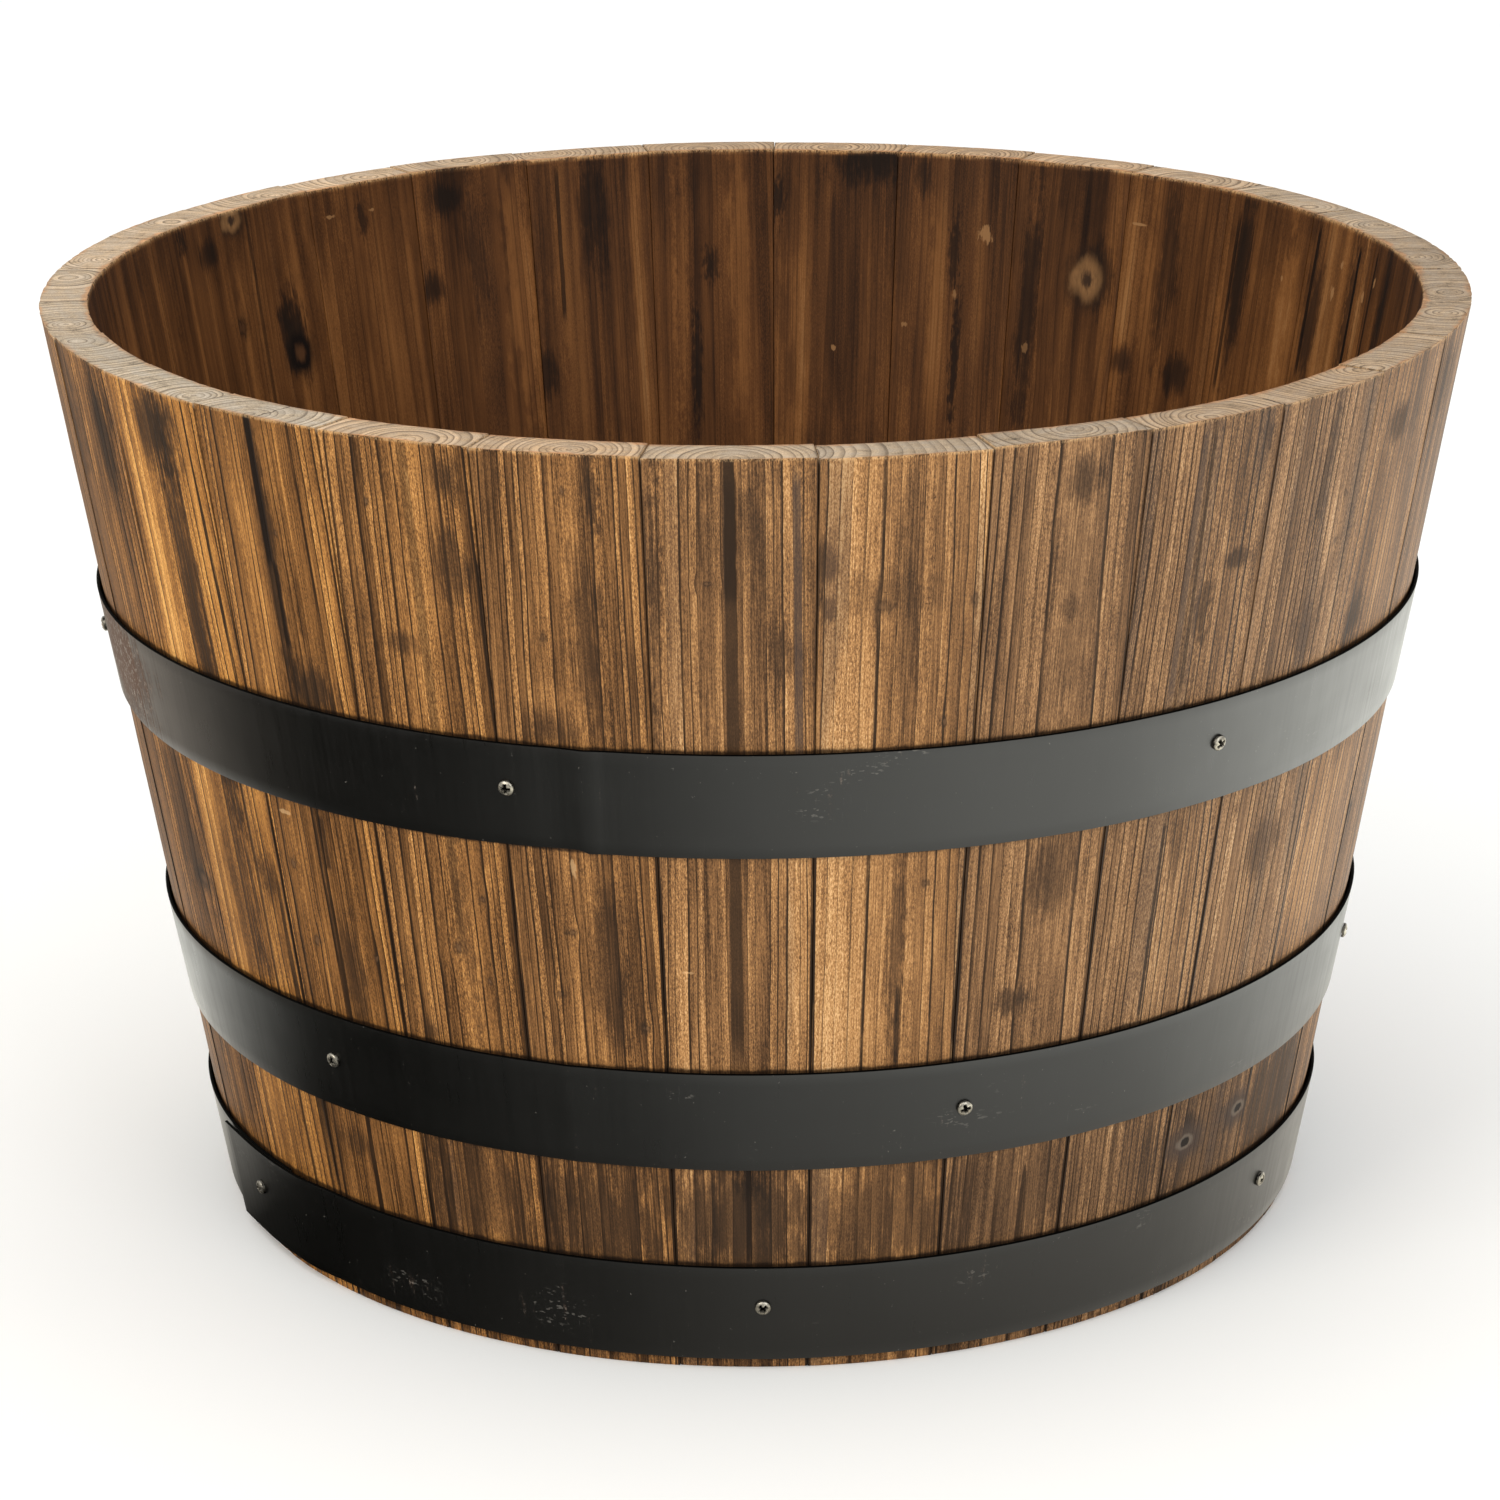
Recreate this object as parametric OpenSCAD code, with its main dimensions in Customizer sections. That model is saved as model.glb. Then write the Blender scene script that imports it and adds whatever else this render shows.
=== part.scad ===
// Half-barrel garden planter.
// Tapered wooden staves stand in a ring, held by three lapped steel hoops that are
// screwed to them. A floor of planks sits in a groove near the foot of the staves and
// is stiffened from below by two battens.
// The origin is on the ground at the middle of the foot, +Z is up and the front is
// towards -Y. Angles about the barrel are counted from the front, positive towards +X.
// Heights are above the ground. All sizes are in millimetres and degrees.

/* [Barrel] */
// Outside diameter across the rim
rim_d = 610; // [560:1:680]
// Outside diameter across the foot
foot_d = 480; // [440:1:520]
// Height of the rim above the ground
barrel_h = 400; // [360:1:460]

/* [Staves] */
// Number of staves round the barrel
stave_count = 29; // [24:1:34]
// Thickness of a stave, square to its face
stave_t = 20; // [17:0.5:26]
// Shrinkage gap between two neighbouring staves at the rim
seam_gap = 0.3; // [0.1:0.05:0.6]
// Angle of the middle of the front stave
front_stave_angle = -1.9; // [-6:0.1:6]
// Width of the bevel on the edges of the rim and the foot
arris = 1; // [0.4:0.1:2]

/* [Floor] */
// Height of the underside of the floor planks
floor_z = 32; // [26:1:45]
// Number of planks in the floor
plank_count = 5; // [4:1:7]
// Thickness of a floor plank
plank_t = 14; // [11:0.5:18]
// Gap between two floor planks
plank_gap = 0.6; // [0.2:0.1:0.9]
// Depth of the groove that holds the planks, cut level into the staves
groove_depth = 6; // [4:0.5:9]
// Play between the planks and the groove
groove_play = 0.3; // [0.1:0.1:0.8]
// Diameter of a drain hole
drain_d = 14; // [8:0.5:20]

/* [Battens] */
// Width of a batten under the floor
batten_w = 45; // [35:1:60]
// Thickness of a batten
batten_t = 18; // [14:0.5:22]
// Distance from the middle of the floor to the middle of a batten
batten_x = 110; // [90:1:125]
// Play between the corners of a batten and the staves
batten_play = 0.6; // [0.3:0.1:0.9]
// Distance between the two screws where a batten crosses a plank
batten_screw_pitch = 44; // [30:1:55]
// Length of a batten screw
batten_screw_l = 25; // [20:1:28]
// Diameter of a batten screw's head
batten_head_d = 7; // [6:0.1:8]

/* [Hoops] */
// Width of the hoop strip
hoop_w = 45; // [36:1:52]
// Thickness of the hoop strip
hoop_t = 1.2; // [0.8:0.1:2]
// Height of the lower edge of the top hoop
top_hoop_z = 235; // [215:1:255]
// Height of the lower edge of the middle hoop
middle_hoop_z = 95; // [80:1:110]
// Height of the lower edge of the foot hoop
foot_hoop_z = 5; // [3:1:12]
// Clearance between a hoop's lower edge and the staves
hoop_fit = 0.1; // [0.05:0.05:0.3]
// How much further a hoop's upper edge stands off the staves
hoop_standoff = 0.6; // [0.2:0.1:0.8]
// Length over which a hoop's two ends lie on each other
lap_l = 66; // [55:1:80]
// Length of the step where the strip climbs onto its other end
joggle_l = 9; // [6:1:14]
// Gap between the inner end and the step
lap_end_gap = 4; // [2:0.5:8]
// Clearance between the two layers of a lap
lap_clear = 0.15; // [0.05:0.05:0.3]

/* [Hoop screws] */
// Number of screws in one hoop
screws_per_hoop = 6; // [4:1:8]
// Angle of the top hoop's lap screw
top_lap_angle = 99.5; // [60:0.5:120]
// Angle of the middle hoop's lap screw
middle_lap_angle = 198; // [150:0.5:240]
// Angle of the foot hoop's lap screw
foot_lap_angle = -60; // [-90:0.5:-40]
// How far above the middle of the strip the top hoop's screws are
top_screw_rise = 3.5; // [-8:0.5:8]
// How far above the middle of the strip the middle hoop's screws are
middle_screw_rise = 1; // [-8:0.5:8]
// How far above the middle of the strip the foot hoop's screws are
foot_screw_rise = 3.5; // [-8:0.5:8]
// Distance from the lap's outer end to its screw
lap_screw_inset = 33; // [20:1:40]
// Least distance from a screw's axis to the edge of its stave
screw_edge = 3; // [2.5:0.5:8]
// Diameter of a screw's shank
screw_d = 3; // [2.5:0.1:4]
// Length of a screw below its head
screw_l = 16; // [12:0.5:17]
// Diameter of a screw's pan head
head_d = 6.5; // [5.5:0.1:8]
// Height of a screw's pan head
head_h = 2.2; // [1.6:0.1:3]

/* [Hidden] */
$fn = 96;
ring_fn = 180;
rim_r = rim_d / 2;
foot_r = foot_d / 2;
taper = atan((rim_r - foot_r) / barrel_h);
pitch = 360 / stave_count;
pilot_clear = 0.05;
hole_clear = 0.25;
pilot_spare = 0.8;
seat_clear = 0.05;
joggle_root = 0.6;
joggle_inset = 0.02;
over = 1;

groove_r = bore_r(floor_z) + groove_depth;
floor_r = groove_r - groove_play;
floor_top = floor_z + plank_t;
plank_w = 2 * floor_r / plank_count;
middle_plank = floor(plank_count / 2);
batten_foot = floor_z - batten_t;
batten_half = sqrt(pow(bore_r(batten_foot) - batten_play, 2) - pow(batten_x + batten_w / 2, 2));
drain_x = (batten_x + batten_w / 2 + bore_r(floor_z)) / 2;
batten_shank_d = batten_head_d / 2;
batten_head_h = (batten_head_d - batten_shank_d) / 2;

WOOD_OUT = "#8f6338";
WOOD_IN = "#6b4526";
STEEL = "#2b2b29";
ZINC = "#6d6a64";

// Each hoop: its name, the height of its lower edge, the angle of its lap screw and its screws' rise
HOOPS = [
    ["top", top_hoop_z, top_lap_angle, top_screw_rise],
    ["middle", middle_hoop_z, middle_lap_angle, middle_screw_rise],
    ["foot", foot_hoop_z, foot_lap_angle, foot_screw_rise],
];

STAVES = [for (i = [1 : stave_count]) str("stave_", i < 10 ? "0" : "", i)];
PLANKS = [for (i = [1 : plank_count]) str("floor_plank_", i)];
BATTENS = ["left_batten", "right_batten"];
HOOP_NODES = [for (hoop = HOOPS) str(hoop[0], "_hoop")];
SCREW_NODES = [for (hoop = HOOPS) str(hoop[0], "_hoop_screws")];

// Outside and inside radius of the ring of staves at a height
function face_r(z) = foot_r + z * tan(taper);
function bore_r(z) = face_r(z) - stave_t / cos(taper);

// Radius and height of a point that lies up the staves' outer face by s and off it by n
function on_face(s, n) = [foot_r + s * sin(taper) + n * cos(taper), s * cos(taper) - n * sin(taper)];

// A radius and height turned to an angle about the barrel, as a point
function at_angle(p, a) = [p[0] * sin(a), -p[0] * cos(a), p[1]];

// Angle that a length takes up at a radius
function arc_angle(l, r) = l / r * 180 / PI;

// Which stave stands at an angle, counted from 0 at the front, and where its middle is
function stave_at(a) = round((a - front_stave_angle) / pitch);
function stave_angle(i) = front_stave_angle + i * pitch;

// Revolves a section of radius and height from one angle to another
module sweep_round(from, to) {
    rotate([0, 0, from - 90])
        rotate_extrude(angle = to - from, $fn = ring_fn) children();
}

// Puts children on the staves' outer face, with local Z pointing straight off it
module on_stave(a, z, n = 0) {
    p = on_face(z / cos(taper), n);
    rotate([0, 0, a - 90])
        translate([p[0], 0, p[1]]) rotate([0, 90 + taper, 0]) children();
}

/* ---- Hoop geometry that the staves and screws share ---- */

function hoop_mid_z(hoop) = hoop[1] + hoop_w / 2 * cos(taper);
function hoop_r(hoop) = face_r(hoop_mid_z(hoop));
function screw_z(hoop) = hoop_mid_z(hoop) + hoop[3] * cos(taper);

// Angle of screw k, kept away from the edges of the stave that it goes into
function screw_angle(hoop, k) =
    let (wanted = hoop[2] + k * 360 / screws_per_hoop)
    let (middle = stave_angle(stave_at(wanted)))
    let (room = pitch / 2 - arc_angle(screw_edge, hoop_r(hoop)))
    middle + max(-room, min(room, wanted - middle));

// Angles where the lap's outer end starts, where its step starts and where the step ends
function lap_start(hoop) = screw_angle(hoop, 0) - arc_angle(lap_screw_inset, hoop_r(hoop));
function joggle_start(hoop) = lap_start(hoop) + arc_angle(lap_l, hoop_r(hoop));
function joggle_end(hoop) = joggle_start(hoop) + arc_angle(joggle_l, hoop_r(hoop));

// Distance from the staves to the inner face of a layer of the strip, at its lower edge
function layer_n(layer) = hoop_fit + layer * (hoop_t + lap_clear);

// The strip's cross-section in one layer, as four corners from its lower inner edge
function strip_section(hoop, layer, inset = 0) =
    let (low = hoop[1] / cos(taper) + inset, high = low + hoop_w - 2 * inset)
    let (n = layer_n(layer) + inset, t = hoop_t - 2 * inset)
    [
        on_face(low, n),
        on_face(low, n + t),
        on_face(high, n + hoop_standoff + t),
        on_face(high, n + hoop_standoff),
    ];

// Distance from the staves to the seat under a screw's head
function seat_n(hoop, k) =
    layer_n(k == 0 ? 1 : 0) + hoop_standoff * (1 / 2 + hoop[3] / hoop_w) + hoop_t + seat_clear;

/* ---- Staves ---- */

// Radius and height outline of a stave, with its groove for the floor
stave_section = [
    [bore_r(0) + arris, 0],
    [foot_r - arris, 0],
    [face_r(arris), arris],
    [face_r(barrel_h - arris), barrel_h - arris],
    [rim_r - arris, barrel_h],
    [bore_r(barrel_h) + arris, barrel_h],
    [bore_r(barrel_h - arris), barrel_h - arris],
    [bore_r(floor_top + groove_play), floor_top + groove_play],
    [groove_r, floor_top + groove_play],
    [groove_r, floor_z],
    [bore_r(floor_z), floor_z],
    [bore_r(arris), arris],
];

module stave(i) {
    half = pitch / 2 - arc_angle(seam_gap / 2, rim_r);
    color(i % 3 == 0 ? WOOD_IN : WOOD_OUT)
        difference() {
            sweep_round(stave_angle(i) - half, stave_angle(i) + half) polygon(stave_section);
            pilot_holes(i);
        }
}

// Pilot holes of the hoop screws that go into stave i
module pilot_holes(i) {
    for (hoop = HOOPS, k = [0 : screws_per_hoop - 1]) {
        a = screw_angle(hoop, k);
        if ((stave_at(a) - i) % stave_count == 0)
            on_stave(a, screw_z(hoop), seat_n(hoop, k) - screw_l - pilot_spare)
                cylinder(d = screw_d + 2 * pilot_clear, h = screw_l + pilot_spare);
    }
}

/* ---- Floor ---- */

function plank_low(i) = -floor_r + i * plank_w + plank_gap / 2;
function plank_high(i) = -floor_r + (i + 1) * plank_w - plank_gap / 2;
function plank_y(i) = -floor_r + (i + 0.5) * plank_w;

// One straight plank, cut round where it meets the staves
module floor_plank(i) {
    low = i == 0 ? -floor_r - over : plank_low(i);
    high = i == plank_count - 1 ? floor_r + over : plank_high(i);
    color(WOOD_IN)
        difference() {
            intersection() {
                translate([0, 0, floor_z]) cylinder(r = floor_r, h = plank_t, $fn = ring_fn);
                translate([-floor_r - over, low, floor_z - over])
                    cube([2 * (floor_r + over), high - low, plank_t + 2 * over]);
            }
            drain_holes();
            batten_screw_places(i) cylinder(d = batten_shank_d + 2 * pilot_clear, h = batten_screw_l + over);
        }
}

// Five drain holes: one in the middle, one in each neighbouring plank and one beyond each batten
module drain_holes() {
    middle_y = plank_y(middle_plank);
    for (p = [
        [0, middle_y], [0, middle_y - plank_w], [0, middle_y + plank_w], [-drain_x, middle_y], [drain_x, middle_y],
    ])
        translate([p[0], p[1], floor_z - over]) cylinder(d = drain_d, h = plank_t + 2 * over);
}

/* ---- Battens ---- */

// Puts children at the two screws in each place where a batten crosses plank i
module batten_screw_places(i, sides = [-1, 1]) {
    low = max(plank_low(i), -batten_half);
    high = min(plank_high(i), batten_half);
    reach = min(batten_screw_pitch / 2, (high - low) / 4);
    for (side = sides, end = [-1, 1])
        translate([side * batten_x, (low + high) / 2 + end * reach, batten_foot]) children();
}

module batten(side) {
    color(WOOD_IN)
        difference() {
            translate([side * batten_x - batten_w / 2, -batten_half, batten_foot])
                cube([batten_w, 2 * batten_half, batten_t]);
            for (i = [0 : plank_count - 1])
                batten_screw_places(i, [side]) countersunk(batten_t + over, 2 * pilot_clear);
        }
}

// A countersunk screw pointing up from its head, or the hole for one where it is given play
module countersunk(length, play = 0) {
    cylinder(d = batten_shank_d + play, h = length);
    translate([0, 0, -play]) cylinder(d1 = batten_head_d + play, d2 = batten_shank_d + play, h = batten_head_h + play);
}

module batten_screws() {
    color(ZINC)
        for (i = [0 : plank_count - 1])
            batten_screw_places(i) countersunk(batten_screw_l);
}

/* ---- Hoops ---- */

module hoop(hoop) {
    color(STEEL)
        difference() {
            union() {
                sweep_round(lap_start(hoop), joggle_start(hoop)) polygon(strip_section(hoop, 1));
                joggle(hoop);
                sweep_round(joggle_end(hoop), joggle_start(hoop) + 360 - arc_angle(lap_end_gap, hoop_r(hoop)))
                    polygon(strip_section(hoop, 0));
            }
            for (k = [0 : screws_per_hoop - 1])
                on_stave(screw_angle(hoop, k), screw_z(hoop), -over)
                    cylinder(d = screw_d + 2 * hole_clear, h = seat_n(hoop, k) + 2 * over);
        }
}

// The short step where the strip climbs from the staves onto its own other end
module joggle(hoop) {
    root = arc_angle(joggle_root, hoop_r(hoop));
    stations = [
        [joggle_start(hoop) - root, 1],
        [joggle_start(hoop), 1],
        [joggle_end(hoop), 0],
        [joggle_end(hoop) + root, 0],
    ];
    last = 4 * (len(stations) - 1);
    sides = [
        for (base = [0 : 4 : last - 4], i = [0 : 3])
            let (p = base + i, q = base + (i + 1) % 4) each [[p, q, q + 4], [p, q + 4, p + 4]],
    ];
    polyhedron(
        [for (at = stations, p = strip_section(hoop, at[1], joggle_inset)) at_angle(p, at[0])],
        concat([[3, 2, 1, 0]], sides, [[last, last + 1, last + 2, last + 3]])
    );
}

/* ---- Hoop screws ---- */

module hoop_screws(hoop) {
    color(ZINC)
        for (k = [0 : screws_per_hoop - 1])
            on_stave(screw_angle(hoop, k), screw_z(hoop), seat_n(hoop, k)) pan_screw(k);
}

// A pan-head screw whose head sits on the local XY plane, with a cross recess
module pan_screw(k) {
    edge_h = head_h * 0.4;
    crown = head_h - edge_h;
    dome_r = (pow(head_d / 2, 2) + pow(crown, 2)) / (2 * crown);
    point_l = screw_d;
    slot = [head_d * 0.55, head_d * 0.13, head_h];
    difference() {
        intersection() {
            cylinder(d = head_d, h = head_h + over);
            translate([0, 0, head_h - dome_r]) sphere(r = dome_r);
            translate([0, 0, head_h / 2]) cube([head_d + over, head_d + over, head_h], center = true);
        }
        for (turn = [0, 90])
            rotate([0, 0, k * 37 + turn]) translate([0, 0, head_h]) cube(slot, center = true);
    }
    translate([0, 0, point_l - screw_l]) cylinder(d = screw_d, h = screw_l - point_l);
    translate([0, 0, -screw_l]) cylinder(d1 = screw_d / 8, d2 = screw_d, h = point_l);
}

for (i = [0 : stave_count - 1])
    stave(i);
for (i = [0 : plank_count - 1])
    floor_plank(i);
batten(-1);  // left_batten
batten(1);  // right_batten
batten_screws();
for (i = [0 : len(HOOPS) - 1]) {
    hoop(HOOPS[i]);
    hoop_screws(HOOPS[i]);
}
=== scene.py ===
"""Dresses the half-barrel planter: scorched fir staves, black steel hoops, screws and the plank floor.

Lengths are in metres, and in millimetres where a name ends in _mm. Angles are in degrees about the
barrel's axis, counted from the front (-Y) and positive towards +X. Heights are above the ground.
"""
import logging
import math
import random
from collections.abc import Callable
from dataclasses import dataclass, field, replace
from enum import Enum

import bmesh
import bpy
import numpy as np
from mathutils import Matrix, Vector, noise


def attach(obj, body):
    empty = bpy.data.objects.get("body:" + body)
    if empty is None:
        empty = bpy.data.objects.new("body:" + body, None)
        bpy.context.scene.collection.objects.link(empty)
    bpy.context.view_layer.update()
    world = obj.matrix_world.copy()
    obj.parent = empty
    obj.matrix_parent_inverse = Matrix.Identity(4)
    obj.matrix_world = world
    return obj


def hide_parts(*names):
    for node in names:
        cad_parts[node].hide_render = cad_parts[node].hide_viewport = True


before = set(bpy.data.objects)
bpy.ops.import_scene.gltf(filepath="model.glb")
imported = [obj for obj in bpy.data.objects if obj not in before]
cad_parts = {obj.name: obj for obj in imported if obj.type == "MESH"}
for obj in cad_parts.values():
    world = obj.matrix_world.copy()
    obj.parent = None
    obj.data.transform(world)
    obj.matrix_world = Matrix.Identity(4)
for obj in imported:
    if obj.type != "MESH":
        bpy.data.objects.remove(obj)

LOG = logging.getLogger("planter")
BODY = "root"
MM = 0.001
CREASE_ANGLE = 50.0
Triple = tuple[float, float, float]


# ------------------------- The barrel's own geometry


@dataclass(frozen=True)
class Barrel:
    """The cone that the staves stand on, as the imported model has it."""

    rim_radius: float = 0.305
    foot_radius: float = 0.240
    height: float = 0.400
    stave_thickness: float = 0.020
    stave_count: int = 29
    front_stave_angle: float = -1.9

    @property
    def taper(self) -> float:
        """The staves' lean from upright, in radians."""
        return math.atan((self.rim_radius - self.foot_radius) / self.height)

    @property
    def pitch(self) -> float:
        """The angle that one stave takes up, in degrees."""
        return 360.0 / self.stave_count

    def face_radius(self, z: float) -> float:
        """Outside radius of the staves at a height."""
        return self.foot_radius + z * math.tan(self.taper)

    def slant(self, z: float) -> float:
        """The distance up the outer face to a height."""
        return z / math.cos(self.taper)

    def point(self, angle: float, slant: float, off: float) -> Vector:
        """The point at an angle about the barrel, up the outer face by slant and off it by off."""
        lean = self.taper
        radius = self.foot_radius + slant * math.sin(lean) + off * math.cos(lean)
        z = slant * math.cos(lean) - off * math.sin(lean)
        turn = math.radians(angle)
        return Vector((radius * math.sin(turn), -radius * math.cos(turn), z))

    def from_face(self, radius: float, z: float) -> tuple[float, float]:
        """How far a point is up the outer face and off it."""
        out = radius - self.foot_radius
        lean = self.taper
        return out * math.sin(lean) + z * math.cos(lean), out * math.cos(lean) - z * math.sin(lean)

    def stave_angle(self, index: int) -> float:
        """The angle of the middle of a stave, counted from 0 at the front."""
        return self.front_stave_angle + index * self.pitch

    def nearest_stave(self, angle: float) -> int:
        """Which stave stands at an angle. Past a full turn, the count goes on."""
        return round((angle - self.front_stave_angle) / self.pitch)


BARREL = Barrel()
STAVE_SPREAD = math.sin(math.radians(BARREL.pitch / 2))


def turn_between(start: float, end: float) -> float:
    """The turn from one angle to another, from -180 to 180."""
    return (end - start + 180.0) % 360.0 - 180.0


# ------------------------- Small tools for modelling


def clear_selection() -> None:
    """Deselects everything, because operators act on all that is selected."""
    bpy.ops.object.select_all(action="DESELECT")


def activate(piece: bpy.types.Object) -> None:
    """Makes one object the only selected and active one."""
    clear_selection()
    piece.select_set(True)
    bpy.context.view_layer.objects.active = piece


def edit(piece: bpy.types.Object, select: str = "SELECT") -> None:
    """Opens a piece in edit mode with all of it selected or deselected.

    Args:
        piece: the object to open.
        select: SELECT or DESELECT.
    """
    activate(piece)
    bpy.ops.object.mode_set(mode="EDIT")
    bpy.ops.mesh.select_mode(type="FACE")
    bpy.ops.mesh.select_all(action=select)


def close_edit() -> None:
    """Goes back to object mode."""
    bpy.ops.object.mode_set(mode="OBJECT")


def edit_faces(piece: bpy.types.Object, wanted: Callable[[bmesh.types.BMFace], bool]) -> None:
    """Opens a piece in edit mode with only the faces selected that a rule picks.

    Args:
        piece: the object to open.
        wanted: the rule.
    """
    edit(piece, "DESELECT")
    shape = bmesh.from_edit_mesh(piece.data)
    for face in shape.faces:
        face.select_set(wanted(face))
    bmesh.update_edit_mesh(piece.data)


def turn_selected(degrees: float, axis: str) -> None:
    """Turns what is selected by the right-hand rule; the operator itself counts the other way."""
    bpy.ops.transform.rotate(value=-math.radians(degrees), orient_axis=axis, center_override=(0.0, 0.0, 0.0))


def apply_modifier(piece: bpy.types.Object, kind: str, **settings: object) -> None:
    """Adds a modifier to a piece and applies it.

    Args:
        piece: the object to change.
        kind: the modifier's type.
        **settings: the modifier's own settings.
    """
    activate(piece)
    modifier = piece.modifiers.new(kind.title(), kind)
    for name, value in settings.items():
        setattr(modifier, name, value)
    bpy.ops.object.modifier_apply(modifier=modifier.name)


def ease_edges(piece: bpy.types.Object, width: float) -> None:
    """Rounds a piece's sharp edges."""
    crease = math.radians(CREASE_ANGLE)
    apply_modifier(piece, "BEVEL", width=width, segments=2, limit_method="ANGLE", angle_limit=crease)


def outward_normals(piece: bpy.types.Object) -> None:
    """Merges a piece's doubled points and turns its faces outwards."""
    edit(piece)
    bpy.ops.mesh.remove_doubles(threshold=1e-6)
    bpy.ops.mesh.normals_make_consistent(inside=False)
    close_edit()


def smooth(piece: bpy.types.Object, angle: float = 35.0) -> None:
    """Shades a piece smooth up to an angle between its faces."""
    activate(piece)
    bpy.ops.object.shade_smooth_by_angle(angle=math.radians(angle))


def cut(piece: bpy.types.Object, at: Triple, normal: Triple, clear: bool = False) -> None:
    """Cuts all of a piece with a plane.

    Args:
        piece: the object to cut.
        at: a point on the plane.
        normal: the plane's normal.
        clear: whether what lies on the normal's side goes.
    """
    edit(piece)
    bpy.ops.mesh.bisect(plane_co=at, plane_no=normal, clear_outer=clear)
    close_edit()


def copy_of(piece: bpy.types.Object) -> bpy.types.Object:
    """A copy of a piece with its own mesh."""
    twin = piece.copy()
    twin.data = piece.data.copy()
    bpy.context.scene.collection.objects.link(twin)
    return twin


def store(piece: bpy.types.Object, name: str, values: np.ndarray) -> None:
    """Stores a number or a vector on each point of a piece, for its material to read."""
    kind, part = ("FLOAT_VECTOR", "vector") if values.ndim == 2 else ("FLOAT", "value")
    layer = piece.data.attributes.new(name, kind, "POINT")
    layer.data.foreach_set(part, values.astype(np.float32).ravel())


def paint(piece: bpy.types.Object, material: bpy.types.Material) -> None:
    """Gives a piece one material in place of any that it had."""
    piece.data.materials.clear()
    piece.data.materials.append(material)


def finish_piece(
    piece: bpy.types.Object, material: bpy.types.Material, name: str, slot: str, node: str
) -> None:
    """Paints and names a piece, and puts it on the barrel's body in place of its node.

    Args:
        piece: the finished mesh.
        material: its material.
        name: its name.
        slot: the record's material slot; not used.
        node: the node that it stands for.
    """
    paint(piece, material)
    piece.name = name
    piece.data.name = name
    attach(piece, BODY)
    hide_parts(node)
    LOG.info("%s: %d faces", name, len(piece.data.polygons))


def linear(red: int, green: int, blue: int) -> tuple[float, float, float, float]:
    """A screen colour of 0 to 255 a channel as the linear colour that a node holds."""
    def one(channel: int) -> float:
        """One channel's linear share."""
        share = channel / 255.0
        return share / 12.92 if share <= 0.04045 else ((share + 0.055) / 1.055) ** 2.4

    return (one(red), one(green), one(blue), 1.0)


BLACK = linear(0, 0, 0)
WHITE = linear(255, 255, 255)


# ------------------------- Fields: node sockets that can be added, multiplied and mixed


class Field:
    """A number that varies over a surface, as an output socket of a material's nodes."""

    def __init__(self, surface: "Surface", socket: bpy.types.NodeSocket) -> None:
        """Keeps the surface that the socket belongs to."""
        self.surface = surface
        self.socket = socket

    def math(self, operation: str, *others: "Field | float") -> "Field":
        """A Math node on this field and any others."""
        return self.surface.output("ShaderNodeMath", self, *others, operation=operation)

    def __add__(self, other: "Field | float") -> "Field":
        """Sum."""
        return self.math("ADD", other)

    def __sub__(self, other: "Field | float") -> "Field":
        """Difference."""
        return self.math("SUBTRACT", other)

    def __mul__(self, other: "Field | float") -> "Field":
        """Product."""
        return self.math("MULTIPLY", other)

    def __truediv__(self, other: "Field | float") -> "Field":
        """Quotient."""
        return self.math("DIVIDE", other)

    def __abs__(self) -> "Field":
        """The number without its sign."""
        return self.math("ABSOLUTE")

    def top(self, other: "Field") -> "Field":
        """The larger of two fields."""
        return self.math("MAXIMUM", other)

    def inverse(self) -> "Field":
        """One less this field."""
        return (self * -1.0) + 1.0

    def clip(self) -> "Field":
        """The number held between 0 and 1."""
        return self.math("MAXIMUM", 0.0).math("MINIMUM", 1.0)

    def step(self, low: float, high: float) -> "Field":
        """A smooth rise from 0 where the field is low to 1 where it is high."""
        return self.surface.output("ShaderNodeMapRange", self, low, high, interpolation_type="SMOOTHSTEP")

    def fall(self, low: float, high: float) -> "Field":
        """A smooth fall from 1 where the field is low to 0 where it is high."""
        return self.step(low, high).inverse()


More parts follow.
